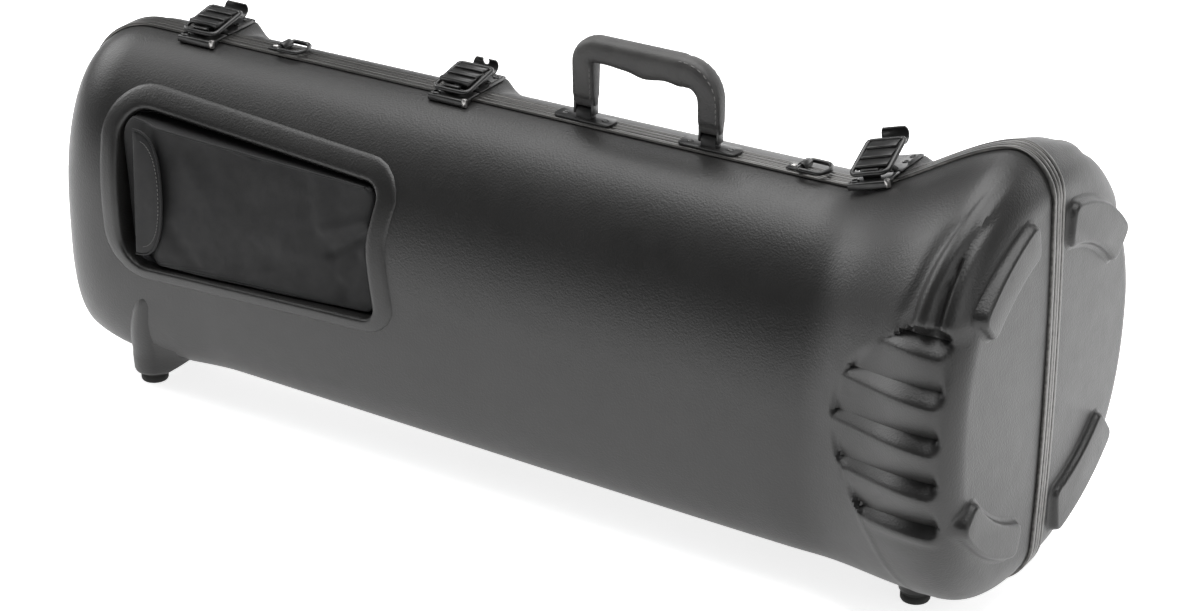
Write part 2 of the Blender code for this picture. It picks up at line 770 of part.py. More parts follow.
# Latches: each is built round its own frame, with X along its pins and Z off the plates


def keeper_mesh():
    """The front plate with the hook that the link pulls on."""
    half = LATCH_HALF_WIDTH
    profile = [
        (-KEEPER_BACK, 0.0),
        (-KEEPER_BACK, LATCH_PLATE),
        (-KEEPER_FRONT + LATCH_PLATE / 2, LATCH_PLATE),
        (-KEEPER_FRONT, LATCH_PLATE / 2),
        (-KEEPER_FRONT, -KEEPER_FLANGE_DROP),
        (-KEEPER_FRONT + LATCH_PLATE, -KEEPER_FLANGE_DROP),
        (-KEEPER_FRONT + LATCH_PLATE, 0.0),
    ]
    return prism(profile, -half, half, "X")


def hook_mesh():
    back = -HOOK_WALL_FRONT + HOOK_THICKNESS
    front = -HOOK_WALL_FRONT
    tip = front - HOOK_LIP
    profile = [
        (back, LATCH_PLATE / 2),
        (back, HOOK_HEIGHT),
        (tip, HOOK_HEIGHT),
        (tip, HOOK_HEIGHT - HOOK_THICKNESS),
        (front, HOOK_HEIGHT - HOOK_THICKNESS),
        (front, LATCH_PLATE / 2),
    ]
    return prism(profile, -HOOK_HALF_WIDTH, HOOK_HALF_WIDTH, "X")


def base_mesh():
    half = LATCH_HALF_WIDTH
    outline = rounded_outline([
        (-half, BASE_START, 0.0),
        (half, BASE_START, 0.0),
        (half, BASE_END, LATCH_PAD_MARGIN),
        (-half, BASE_END, LATCH_PAD_MARGIN),
    ])
    return prism(outline, 0.0, LATCH_PLATE, "Z")


def ear_mesh(sign):
    """An upright cheek of the base plate that carries the lever's pin."""
    inside, outside = sorted((sign * EAR_INSIDE, sign * (EAR_INSIDE + EAR_THICKNESS)))
    crown = []
    for k in range(8):
        angle = radians(blend_value(240, 30, k / 7))
        crown.append((-PIVOT_FORWARD + EAR_RADIUS * cos(angle), PIVOT_HEIGHT + EAR_RADIUS * sin(angle)))
    profile = [(EAR_FOOT, LATCH_PLATE / 2), (BASE_START, LATCH_PLATE / 2), (BASE_START, LATCH_PLATE)] + crown
    return prism(profile, inside, outside, "X")


def lever_profile():
    """The cover's side view: steps that climb to the back and a finger tab that curls up."""
    top = []
    y, z = -LEVER_FRONT, LEVER_FRONT_HEIGHT
    for _ in range(LEVER_STEPS):
        top.append((y, z + LEVER_SHEET))
        y += LEVER_STEP_LENGTH
        z += LEVER_STEP_SLOPE
        top.append((y, z + LEVER_SHEET))
        z += LEVER_STEP_RISE - LEVER_STEP_SLOPE
    top = top[:-1] + [(y, z + LEVER_SHEET - LEVER_STEP_RISE + LEVER_STEP_SLOPE)]
    slope = (LEVER_STEP_RISE * (LEVER_STEPS - 1) + LEVER_STEP_SLOPE) / (LEVER_STEP_LENGTH * LEVER_STEPS)
    bottom = [
        (y, LEVER_FRONT_HEIGHT + slope * (y + LEVER_FRONT) - LEVER_SHEET / 2),
        (-LEVER_FRONT, LEVER_FRONT_HEIGHT - LEVER_SHEET / 2),
    ]
    return top + bottom


def tab_profile():
    y = -LEVER_FRONT + LEVER_STEP_LENGTH * LEVER_STEPS
    z = LEVER_FRONT_HEIGHT + LEVER_STEP_RISE * (LEVER_STEPS - 1) + LEVER_STEP_SLOPE
    centre = (y - LEVER_SHEET, z + TAB_RADIUS + LEVER_SHEET / 4)
    sweep = [radians(a) for a in (-100, -75, -50, -25, 0, 20)]
    outer = [(centre[0] + TAB_RADIUS * cos(a), centre[1] + TAB_RADIUS * sin(a)) for a in sweep]
    inner_radius = TAB_RADIUS - LEVER_SHEET
    inner = [(centre[0] + inner_radius * cos(a), centre[1] + inner_radius * sin(a)) for a in sweep]
    return outer + inner[::-1]


def cheek_mesh(sign):
    inside, outside = sorted((sign * LEVER_CHEEK_INSIDE, sign * (LEVER_CHEEK_INSIDE + LEVER_CHEEK)))
    reach = LINK_BAR_RADIUS + 2 * LEVER_CHEEK
    front = PIVOT_RADIUS + 2 * LEVER_CHEEK
    profile = [
        (-PIVOT_FORWARD - front, LEVER_FRONT_HEIGHT),
        (-PIVOT_FORWARD - front, PIVOT_HEIGHT),
        (-PIVOT_FORWARD, PIVOT_HEIGHT - front + LEVER_CHEEK / 2),
        (LINK_PIVOT_BACK, LINK_PIVOT_HEIGHT - reach),
        (LINK_PIVOT_BACK + reach, LINK_PIVOT_HEIGHT - reach / 2),
        (LINK_PIVOT_BACK + reach, LINK_PIVOT_HEIGHT + reach),
    ]
    return prism(profile, inside, outside, "X")


def link_points(lift):
    """Where a link's front bar and its pivot lie in the latch frame, with the lever lifted."""
    pin = Vector((-PIVOT_FORWARD, PIVOT_HEIGHT))
    pivot = Vector((LINK_PIVOT_BACK, LINK_PIVOT_HEIGHT))
    bar = Vector((-LINK_BAR_FORWARD, LINK_BAR_HEIGHT))
    held = pin + turned_pair(pivot - pin, lift)
    return held + turned_pair(bar - pivot, lift * LINK_TURN_SHARE), held


def link_mesh(lift):
    """A closed loop of round bar: its back bar turns in the lever, its front bar pulls the hook."""
    front, back = link_points(lift)
    along = Vector((0.0, *(front - back).normalized()))
    length = (front - back).length
    across = Vector((1.0, 0.0, 0.0))
    origin = Vector((0.0, *back))
    half = LINK_HALF_WIDTH
    outline = rounded_outline([
        (-half, 0.0, LINK_CORNER / 2),
        (half, 0.0, LINK_CORNER / 2),
        (half, length, LINK_CORNER),
        (-half, length, LINK_CORNER),
    ])
    centres = [origin + across * a + along * b for a, b in outline]
    off = across.cross(along).normalized()
    return tube(centres, LINK_BAR_RADIUS, off, 8)


def tube(centres, radius, off, sides):
    """A closed ring of round bar along a flat loop of centres; off is square to the loop."""
    rings = []
    count = len(centres)
    for k, centre in enumerate(centres):
        along = (centres[(k + 1) % count] - centres[k - 1]).normalized()
        across = along.cross(off).normalized()
        before = (centre - centres[k - 1]).normalized()
        mitre = 1 / max(sqrt((1 + before.dot((centres[(k + 1) % count] - centre).normalized())) / 2), 0.6)
        rings.append([centre + across * a * mitre + off * b for a, b in circle(radius, sides, (0, 0))])
    return loft(rings, closed=True)


def make_latch(number, x, lift_degrees, with_hole):
    height, tilt = latch_seat(x)
    sink = LATCH_SEAT_LIFT if abs(tilt) > radians(2) else 0.0
    frame = empty(f"latch_{number}_frame", (x, 0.0, height + sink), tilt)
    name = f"latch_{number}"
    keeper = place(keeper_mesh(), name + "_keeper", "latch_steel", frame)
    boolean(keeper, cutter(hook_mesh(), name + "_hook", frame), "UNION")

    base = place(base_mesh(), name + "_base", "latch_steel", frame)
    pin_centre = (-PIVOT_FORWARD, PIVOT_HEIGHT)
    reach = EAR_INSIDE + EAR_THICKNESS + OVERRUN
    for word, sign in (("left", -1), ("right", 1)):
        boolean(base, cutter(ear_mesh(sign), f"{name}_ear_{word}", frame), "UNION")
    bore = prism(outer_circle(PIVOT_RADIUS + RUNNING_GAP, ROUND_STEPS, pin_centre), -reach, reach, "X")
    boolean(base, cutter(bore, name + "_ear_bore", frame), "DIFFERENCE")

    pin = prism(circle(PIVOT_RADIUS, ROUND_STEPS, pin_centre), -PIVOT_HALF_LENGTH, PIVOT_HALF_LENGTH, "X")
    place(pin, name + "_pin", "latch_steel", frame)

    lift = radians(lift_degrees)
    turn = Matrix.Translation((0, *pin_centre)) @ Matrix.Rotation(lift, 4, "X")
    turn = turn @ Matrix.Translation((0, -pin_centre[0], -pin_centre[1]))

    def turned(bm):
        bm.transform(turn)
        return bm

    cover = prism(lever_profile(), -LEVER_HALF_WIDTH, LEVER_HALF_WIDTH, "X")
    lever = place(turned(cover), name + "_lever", "latch_steel", frame)
    tab = prism(tab_profile(), -TAB_HALF_WIDTH, TAB_HALF_WIDTH, "X")
    boolean(lever, cutter(turned(tab), name + "_tab", frame), "UNION")
    for word, sign in (("left", -1), ("right", 1)):
        boolean(lever, cutter(turned(cheek_mesh(sign)), f"{name}_cheek_{word}", frame), "UNION")
    bores = ((pin_centre, PIVOT_RADIUS), ((LINK_PIVOT_BACK, LINK_PIVOT_HEIGHT), LINK_BAR_RADIUS))
    for word, (centre, radius) in zip(("pin", "link"), bores):
        hole = prism(outer_circle(radius + RUNNING_GAP, ROUND_STEPS, centre), -reach, reach, "X")
        boolean(lever, cutter(turned(hole), f"{name}_{word}_bore", frame), "DIFFERENCE")
    if with_hole:
        y = -LEVER_FRONT + LEVER_STEP_LENGTH * LEVER_STEPS
        z = LEVER_FRONT_HEIGHT + LEVER_STEP_RISE * LEVER_STEPS + TAB_RADIUS
        eye = prism(circle(TAB_HOLE_RADIUS, ROUND_STEPS, (0.0, z)), y - OVERRUN, y + 2 * TAB_RADIUS, "Y")
        boolean(lever, cutter(turned(eye), name + "_tab_eye", frame), "DIFFERENCE")
    place(link_mesh(lift), name + "_link", "latch_steel", frame)


# Carrying handle


def handle_path():
    """Centre line of the grip as (x, z, along share), from the left leg's foot to the right's."""
    low = HANDLE_LEG_START
    top = HANDLE_TOP_LIFT
    half = HANDLE_HALF_SPAN
    points = [(-half, low), (-half, (low + top - HANDLE_CORNER) / 2)]
    corner_steps = 5
    for k in range(corner_steps + 1):
        angle = pi - pi / 2 * k / corner_steps
        points.append((-half + HANDLE_CORNER * (1 + cos(angle)), top - HANDLE_CORNER * (1 - sin(angle))))
    span_steps = 8
    start = -half + HANDLE_CORNER
    for k in range(1, span_steps):
        points.append((blend_value(start, -start, k / span_steps), top))
    points += [(-a, b) for a, b in reversed(points[: corner_steps + 3])]
    return points


def grip_mesh():
    path = [Vector(p) for p in handle_path()]
    count = len(path)
    rings = []
    for k, p in enumerate(path):
        before = path[max(k - 1, 0)]
        after = path[min(k + 1, count - 1)]
        along = (after - before).normalized()
        out = Vector((-along.y, along.x))
        climb = ease((p.y - HANDLE_LEG_START) / (HANDLE_TOP_LIFT - HANDLE_LEG_START))
        width = blend_value(HANDLE_LEG_WIDTH, HANDLE_GRIP_WIDTH, climb)
        thick = blend_value(HANDLE_LEG_THICKNESS, HANDLE_GRIP_THICKNESS, climb)
        wave = HANDLE_FINGER_WAVE * cos(2.5 * pi * p.x / (HANDLE_HALF_SPAN - HANDLE_CORNER)) * climb
        ring = []
        for a, b in circle(1.0, ROUND_STEPS):
            reach = width * a - (wave if a < 0 else 0.0) * abs(a)
            ring.append((p.x + out.x * reach, thick * b, p.y + out.y * reach))
        rings.append(ring)
    return loft(rings)


def make_handle():
    seat = VALANCE_TOP + TOUCH_GAP
    pin_height = seat + HANDLE_PIN_LIFT
    axis = empty("handle_axis", (HANDLE_CENTRE, 0.0, pin_height))
    place(grip_mesh(), "handle_grip", "handle_leather", axis)
    for word, sign in (("left", -1), ("right", 1)):
        x = sign * HANDLE_HALF_SPAN
        half = BRACKET_LENGTH / 2
        plate_low = -HANDLE_PIN_LIFT
        outline = rounded_outline([
            (x - half, -BRACKET_WIDTH / 2, BRACKET_WIDTH / 4),
            (x + half, -BRACKET_WIDTH / 2, BRACKET_WIDTH / 4),
            (x + half, BRACKET_WIDTH / 2, BRACKET_WIDTH / 4),
            (x - half, BRACKET_WIDTH / 2, BRACKET_WIDTH / 4),
        ])
        bracket = place(prism(outline, plate_low, plate_low + BRACKET_PLATE, "Z"),
                        f"handle_bracket_{word}", "latch_steel", axis)
        knuckle = [
            (-BRACKET_KNUCKLE_RADIUS, plate_low + BRACKET_PLATE / 2),
            (-BRACKET_KNUCKLE_RADIUS, 0.0),
            (-BRACKET_KNUCKLE_RADIUS * cos(pi / 4), BRACKET_KNUCKLE_RADIUS * sin(pi / 4)),
            (0.0, BRACKET_KNUCKLE_RADIUS),
            (BRACKET_KNUCKLE_RADIUS * cos(pi / 4), BRACKET_KNUCKLE_RADIUS * sin(pi / 4)),
            (BRACKET_KNUCKLE_RADIUS, 0.0),
            (BRACKET_KNUCKLE_RADIUS, plate_low + BRACKET_PLATE / 2),
        ]
        body = prism(knuckle, x - BRACKET_KNUCKLE, x + BRACKET_KNUCKLE, "X")
        boolean(bracket, cutter(body, f"handle_knuckle_{word}", axis), "UNION")
        reach = BRACKET_KNUCKLE + OVERRUN
        bore = prism(outer_circle(HANDLE_PIN_RADIUS + RUNNING_GAP), x - reach, x + reach, "X")
        boolean(bracket, cutter(bore, f"handle_bore_{word}", axis), "DIFFERENCE")

        strap = BRACKET_KNUCKLE + RUNNING_GAP
        outside = strap + STIRRUP_THICKNESS
        pin = prism(circle(HANDLE_PIN_RADIUS), x - outside, x + outside, "X")
        stirrup = place(pin, f"handle_stirrup_{word}", "latch_steel", axis)
        neck = [
            (-STIRRUP_RADIUS, -STIRRUP_RADIUS / 2),
            (STIRRUP_RADIUS, -STIRRUP_RADIUS / 2),
            (STIRRUP_RADIUS, HANDLE_LEG_START - TOUCH_GAP),
            (-STIRRUP_RADIUS, HANDLE_LEG_START - TOUCH_GAP),
        ]
        for part, side in (("inner", -1), ("outer", 1)):
            low, high = sorted((x + side * strap, x + side * outside))
            boolean(stirrup, cutter(prism(neck, low, high, "X"), f"handle_strap_{part}_{word}", axis), "UNION")
        bridge = box(
            (x - outside, -STIRRUP_RADIUS, HANDLE_LEG_START - TOUCH_GAP - STIRRUP_THICKNESS),
            (x + outside, STIRRUP_RADIUS, HANDLE_LEG_START - TOUCH_GAP),
        )
        boolean(stirrup, cutter(bridge, f"handle_bridge_{word}", axis), "UNION")


# Strap rings


def make_ring(word, x):
    seat = VALANCE_TOP + TOUCH_GAP
    axis = empty(f"ring_{word}_axis", (x, 0.0, seat + CLIP_BARREL))
    half = RING_HALF_WIDTH
    outline = rounded_outline([
        (0.0, -half, RING_WIRE),
        (RING_REACH - half / 2, -half, half / 2),
        (RING_REACH, 0.0, half),
        (RING_REACH - half / 2, half, half / 2),
        (0.0, half, RING_WIRE),
    ])
    centres = [Vector((a, b, 0.0)) for a, b in outline]
    place(tube(centres, RING_WIRE, Vector((0.0, 0.0, 1.0)), 8), f"strap_ring_{word}", "latch_steel", axis)
    low = -CLIP_BARREL
    wide = CLIP_HALF_WIDTH
    bore = (RING_WIRE + RUNNING_GAP) / cos(pi / ROUND_STEPS)
    start, end = radians(-90), radians(150)
    steps = ROUND_STEPS - 2
    sweep = [blend_value(start, end, k / steps) for k in range(steps + 1)]
    outer = [(CLIP_BARREL * cos(a), CLIP_BARREL * sin(a)) for a in sweep]
    inner = [(bore * cos(a), bore * sin(a)) for a in sweep[::-1]]
    profile = [(-CLIP_LENGTH, low)] + outer + inner + [(-CLIP_LENGTH, -bore)]
    place(prism(profile, -wide, wide, "Y"), f"ring_clip_{word}", "latch_steel", axis)


# Hinges


def hinge_axis():
    """Slope and height of the hinge line under the case, where x is nought."""
    slope = (BELL_END_UNDERSIDE - SMALL_END_UNDERSIDE) / CASE_LENGTH
    height = (BELL_END_UNDERSIDE + SMALL_END_UNDERSIDE) / 2
    drop = VALANCE_PROUD + TOUCH_GAP + HINGE_BARREL
    return height - drop, slope


def leaf_profile(side):
    """A hinge leaf's end view: a flat sheet rolled back round the pin."""
    bore = (HINGE_PIN + TOUCH_GAP) / cos(pi / ROUND_STEPS)
    start, end = radians(90), radians(380)
    steps = ROUND_STEPS - 2
    sweep = [blend_value(start, end, k / steps) for k in range(steps + 1)]
    outer = [(HINGE_BARREL * cos(a), HINGE_BARREL * sin(a)) for a in sweep]
    inner = [(bore * cos(a), bore * sin(a)) for a in sweep[::-1]]
    profile = [(HINGE_LEAF_END, bore), (HINGE_LEAF_END, HINGE_BARREL)] + outer + inner
    return [(side * y, z) for y, z in profile]


def make_hinge(number, x):
    height, slope = hinge_axis()
    axis = empty(f"hinge_{number}_axis", (x, 0.0, height + slope * x), -atan2(slope, 1.0))
    third = HINGE_LENGTH / 6
    half = HINGE_LENGTH / 2
    gap = HINGE_JOINT_GAP / 2
    spans = {"front": ((-half - gap, -third + gap), (third - gap, half + gap)),
             "rear": ((-third - gap, third + gap),)}
    reach = HINGE_BARREL + OVERRUN
    for word, side in (("front", -1), ("rear", 1)):
        leaf = place(prism(leaf_profile(side), -half, half, "X"),
                     f"hinge_{number}_leaf_{word}", "latch_steel", axis)
        near, far = sorted((-side * reach, side * HINGE_LEAF_START))
        for k, (start, end) in enumerate(spans[word]):
            notch = box((start, near, -reach), (end, far, reach))
            boolean(leaf, cutter(notch, f"hinge_{number}_notch_{word}_{k}", axis), "DIFFERENCE")
    pin = prism(circle(HINGE_PIN), -half, half, "X")
    place(pin, f"hinge_{number}_pin", "latch_steel", axis)


# Pouch


def make_pouch():
    outline = offset_outline(pocket_outline(), -POUCH_ROOM)
    top = POCKET_HIGH - POUCH_TOP_ROOM
    outline = [(a, min(b, top)) for a, b in outline]
    cleaned = []
    for p in outline:
        if not cleaned or (Vector(p) - Vector(cleaned[-1])).length > TOUCH_GAP:
            cleaned.append(p)
    back = -POCKET_FLOOR - TOUCH_GAP
    front = back - POUCH_DEPTH
    inner = offset_outline(cleaned, -POUCH_ROUND / 2)
    half_way = offset_outline(cleaned, -POUCH_ROUND / 8)
    order = offset_outline(cleaned, 0.0)
    rings = [
        [(a, back, b) for a, b in order],
        [(a, front + POUCH_ROUND, b) for a, b in order],
        [(a, front + POUCH_ROUND / 4, b) for a, b in half_way],
        [(a, front, b) for a, b in inner],
    ]
    place(loft(rings), "pouch_bag", "pouch_nylon")
    axis_y = front - TOUCH_GAP - FLAP_THICKNESS / 2
    axis = empty("flap_axis", (FLAP_LEFT, axis_y, (FLAP_LOW + FLAP_HIGH) / 2))
    half = (FLAP_HIGH - FLAP_LOW) / 2
    steps = 10
    leaf = []
    for k in range(steps + 1):
        angle = pi * k / steps
        leaf.append((FLAP_WIDTH * sin(angle) ** 0.8, half * cos(angle)))
    for k in range(1, 4):
        leaf.append((0.0, -half + 2 * half * k / 4))
    flap = prism(leaf, -FLAP_THICKNESS / 2, FLAP_THICKNESS / 2, "Y")
    place(flap, "pouch_flap", "pouch_nylon", axis)


# Foam inside


def bell_pocket():
    """A hollow turned about X for the bell, its throat and the tube behind it."""
    profile = [
        (BELL_STEM_END, BELL_STEM_RADIUS),
        (BELL_STEM, BELL_STEM_RADIUS),
        (BELL_THROAT, BELL_THROAT_RADIUS),
        (BELL_POCKET_RIGHT - BELL_POCKET_RADIUS / 6, BELL_POCKET_RADIUS),
        (BELL_POCKET_RIGHT, BELL_POCKET_RADIUS),
    ]
    return loft([[(x, a, b) for a, b in circle(r, 2 * ROUND_STEPS, (0.0, BELL_POCKET_HEIGHT))]
                 for x, r in profile])


def make_foam():
    rear = place(half_hull(1, FOAM_INSET, FOAM_SETBACK, False), "rear_foam", "lining_plush")
    boolean(rear, cutter(rib_room(1, 2 * TOUCH_GAP), "rear_foam_rib_room"), "DIFFERENCE")
    slide = box((SLIDE_POCKET_LEFT, -SLIDE_POCKET_DEPTH, SLIDE_POCKET_LOW),
                (SLIDE_POCKET_RIGHT, SLIDE_POCKET_DEPTH, SLIDE_POCKET_HIGH))
    slide = cutter(slide, "slide_pocket")
    bell = cutter(bell_pocket(), "bell_pocket")
    kit = box((KIT_POCKET_LEFT, 0.0, KIT_POCKET_LOW), (KIT_POCKET_RIGHT, KIT_POCKET_DEPTH, KIT_POCKET_HIGH))
    mouthpiece = prism(circle(MOUTHPIECE_RADIUS, ROUND_STEPS, (0.0, MOUTHPIECE_HEIGHT)),
                       MOUTHPIECE_PLACE - MOUTHPIECE_LENGTH / 2, MOUTHPIECE_PLACE + MOUTHPIECE_LENGTH / 2, "X")
    for tool in (slide, bell, cutter(kit, "kit_pocket"), cutter(mouthpiece, "mouthpiece_pocket")):
        boolean(rear, tool, "DIFFERENCE")

    front = place(half_hull(-1, FOAM_INSET, FOAM_SETBACK, False), "front_foam", "lining_plush")
    hollow = half_hull(-1, FOAM_INSET + FRONT_FOAM_THICKNESS, -OVERRUN, False)
    boolean(front, cutter(hollow, "front_foam_hollow"), "DIFFERENCE")
    boolean(front, cutter(rib_room(-1, 2 * TOUCH_GAP), "front_foam_rib_room"), "DIFFERENCE")
    mouth = offset_outline(pocket_outline(), SHELL_WALL + 2 * TOUCH_GAP)
    room = prism(mouth, -FRONT_BELL_DEPTH, -POCKET_FLOOR + SHELL_WALL + 2 * TOUCH_GAP, "Y")
    boolean(front, cutter(room, "front_foam_pocket_room"), "DIFFERENCE")


def main():
    clear_scene()
    make_materials()
    make_shell(-1, "front_shell")
    make_shell(1, "rear_shell")
    make_valance(-1, "front_valance")
    make_valance(1, "rear_valance")
    for end, x in (("small_end", SMALL_END_FOOT), ("bell_end", BELL_END_FOOT)):
        make_foot(f"foot_front_{end}", x, -FOOT_SIDE)
        make_foot(f"foot_rear_{end}", x, FOOT_SIDE)
    for number, (x, lift, hole) in enumerate(zip(LATCH_PLACES, LATCH_LIFTS, LATCH_HOLES), 1):
        make_latch(number, x, lift, hole)
    make_handle()
    for word, x in zip(("left", "right"), RING_PLACES):
        make_ring(word, x)
    for number, x in enumerate(HINGE_PLACES, 1):
        make_hinge(number, x)
    make_pouch()
    make_foam()
    bpy.context.view_layer.update()


main()
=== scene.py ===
"""Looks of a hard moulded trombone case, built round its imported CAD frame. All lengths are in metres.

X runs along the case with the bell end at +X, the front half (the lid, with the outside pocket)
is at -Y, and Z is up. The case stands on its feet at Z = 0.
"""

import bmesh
import bpy
from itertools import product
from math import acos, ceil, copysign, cos, exp, pi, radians, sin, sqrt, tan
from mathutils import Matrix, Vector, noise


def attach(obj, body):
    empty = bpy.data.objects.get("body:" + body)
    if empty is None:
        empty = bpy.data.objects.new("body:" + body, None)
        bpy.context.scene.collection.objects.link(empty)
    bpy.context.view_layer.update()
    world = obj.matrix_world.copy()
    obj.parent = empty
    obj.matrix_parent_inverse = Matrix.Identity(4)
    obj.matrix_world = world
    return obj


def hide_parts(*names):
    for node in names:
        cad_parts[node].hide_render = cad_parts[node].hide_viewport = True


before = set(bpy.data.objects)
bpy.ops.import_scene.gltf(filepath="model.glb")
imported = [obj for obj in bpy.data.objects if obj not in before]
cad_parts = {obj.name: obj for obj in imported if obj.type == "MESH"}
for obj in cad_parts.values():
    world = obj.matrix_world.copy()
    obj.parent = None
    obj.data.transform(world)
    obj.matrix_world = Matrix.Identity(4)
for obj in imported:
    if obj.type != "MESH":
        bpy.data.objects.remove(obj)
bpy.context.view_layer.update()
MM = 0.001
JOIN_GAP = MM / 100
CAD_JOIN_GAP = MM / 200
SMALLEST = MM / 1000
SMOOTH_DEGREES = 38.0
EDGE_SMOOTH = radians(50.0)
FLAT_ANGLE = radians(1.0)
FEWEST_POINTS = 8

# Camera, read from the photograph
CAMERA_PLACE = (1.4342, -2.3108, 1.4129)
CAMERA_AZIMUTH = radians(30.75)
CAMERA_ELEVATION = radians(25.0)
CAMERA_ROLL = radians(0.41)
CAMERA_LENS_MM = 104.55
CAMERA_SENSOR_MM = 36.0

# Outline of the case
CASE_LENGTH = 941.5 * MM
LEFT_END = -CASE_LENGTH / 2
RIGHT_END = CASE_LENGTH / 2
TOP_HEIGHT = 324.3 * MM
BELL_RISE = 65.5 * MM
SMALL_END_UNDERSIDE = 19.8 * MM
BELL_END_UNDERSIDE = 9.8 * MM
SMALL_END_DEPTH = 95.5 * MM
NECK_DEPTH = 118.0 * MM
FRONT_BELL_DEPTH = 172.0 * MM
REAR_BELL_DEPTH = 181.0 * MM
TOP_FLARE_START = 286.0 * MM
TOP_FLARE_LENGTH = 164.0 * MM
SIDE_FLARE_START = 312.0 * MM
SIDE_FLARE_LENGTH = 130.0 * MM
SMALL_END_REACH = 92.0 * MM
SMALL_END_TOP_RADIUS = 71.0 * MM
SMALL_END_LOW_RADIUS = 30.0 * MM
SMALL_END_LIFT = 10.0 * MM
SMALL_END_LIFT_REACH = 84.0 * MM
BELL_EDGE_RADIUS = 42.0 * MM
BELL_SIDE_RADIUS = 28.0 * MM
BELL_FACE_CROWN = 3.0 * MM
HALVINGS = 24
SHELL_WALL = 3.0 * MM
SHELL_RIM = 2.15 * MM
SMALL_END_POWER_SHARE = 3.1
UPPER_POWER_SHARE = 2.2
SMALL_LOWER_POWER_SHARE = 2.5
SMALL_END_LOWER_POWER_SHARE = 3.2
NECK_LOWER_POWER_SHARE = 3.0
FRONT_BELL_UPPER_POWER_SHARE = 2.3
REAR_BELL_UPPER_POWER_SHARE = 1.8
BELL_LOWER_POWER_SHARE = 2.4

# Spacing of the skin's grid
WIDE_STEP = 6.0 * MM
CLOSE_STEP = 2.0 * MM
CLOSE_SPANS_MM = ((-472.0, -306.0), (-116.0, -42.0), (270.0, 452.0))
FIRST_COLUMN_SHARES = (0.025, 0.125, 1 / 3)
EDGE_COLUMNS = 18
CAP_COLUMNS = 20
UPPER_ROWS = 30
LOWER_ROWS = 26
LEVEL_BLEND_START = 246.0 * MM
LEVEL_BLEND_LENGTH = 64.0 * MM

# Stepped ribs on the flare: a tread slopes out to each nose, and a riser leads back in below it
RIB_COUNT = 5
RIB_LOWEST = 107.5 * MM
RIB_PITCH = 39.1 * MM
RIB_LEAN_SHARE = 0.4
RIB_BASE_DEPTH = 117.0 * MM
RIB_LEFT = 343.0 * MM
RIB_LEFT_CURVE = 7.2
RIB_MIDDLE = 187.0 * MM
RIB_LEFT_EDGE = 6.0 * MM
RIB_RIGHT = 451.0 * MM
RIB_RIGHT_EDGE = 9.0 * MM
RIB_LEFT_TREAD = 8.5 * MM
RIB_RIGHT_TREAD = 12.0 * MM
RIB_LEFT_DROP = 6.0 * MM
RIB_RIGHT_DROP = 9.0 * MM
RIB_PROUD = 2.6 * MM
RIB_END_FADE = 7.0 * MM
TREAD_ROWS = 7
RISER_ROWS = 8
RISER_POWER_SHARE = 1.2
RIB_TOP_RISER = 12.0 * MM
TREAD_BULGE_SHARE = 0.35

# Two raised ridges above the ribs and the valleys beside them: line, half width, height
RIDGES_MM = (
    (((431.0, 288.0), (432.0, 304.0), (433.0, 318.0), (436.0, 331.0), (439.0, 342.0), (443.0, 354.0),
      (448.0, 368.0), (454.0, 386.0)), 8.5, 6.0),
    (((457.0, 286.0), (457.5, 300.0), (458.0, 321.0), (459.0, 341.0), (460.0, 350.0), (461.0, 361.0),
      (462.0, 376.0), (463.0, 388.0)), 11.0, 7.5),
)
VALLEYS_MM = (
    (((411.0, 292.0), (417.0, 306.0), (421.0, 318.0), (425.0, 338.0), (431.0, 352.0)), 7.0, 2.4),
    (((444.0, 286.0), (445.0, 300.0), (446.0, 321.0), (449.0, 341.0), (453.0, 358.0)), 4.0, 2.4),
)
RIDGE_LOW = 282.0 * MM
RIDGE_HIGH = 396.0 * MM
RIDGE_LOW_FADE = 20.0 * MM
RIDGE_HIGH_FADE = 26.0 * MM
RIDGE_POWER_SHARE = 2 / 3
RIDGE_FADE_DEPTH = NECK_DEPTH / 3

# A faint crease where the flare starts, below the ribs
CREASE_LINE_MM = ((359.0, 152.0), (369.0, 130.0), (391.0, 96.0), (403.0, 68.0), (412.0, 42.0), (420.0, 20.0))
CREASE_WIDTH = 3.0 * MM
CREASE_HEIGHT = 0.9 * MM
CREASE_REACH = 4 * CREASE_WIDTH

# Moulded legs at the small end: (height, x and depth of the column's middle, its radius, the web's end)
LEG_LEVELS_MM = (
    (10.3, -381.0, 57.0, 14.2, -366.0), (11.2, -381.0, 57.2, 16.2, -363.0),
    (14.0, -380.8, 58.0, 17.0, -359.0), (20.0, -380.0, 59.6, 17.0, -351.0),
    (28.0, -379.0, 61.8, 16.8, -341.0), (36.0, -377.6, 64.0, 16.4, -333.0),
    (48.0, -375.0, 70.0, 15.8, -330.0), (60.0, -372.0, 75.0, 15.2, -330.0),
    (72.0, -368.6, 79.4, 14.4, -331.0), (84.0, -364.8, 83.0, 13.4, -334.0),
    (94.0, -361.0, 85.0, 12.2, -338.0), (102.0, -357.6, 85.4, 10.4, -342.0),
    (108.0, -355.0, 84.8, 8.0, -346.0), (112.0, -353.0, 83.0, 4.5, -349.0),
)
LEG_ARC = (215.0, 35.0)
LEG_ARC_STEPS = 20
LEG_BURIED = 6.0 * MM
LEG_EDGE = 1.2 * MM
LEG_WEB_SUNK = 1.5 * MM
LEG_LOWEST_JOIN = SMALL_END_UNDERSIDE + 2 * LEG_BURIED

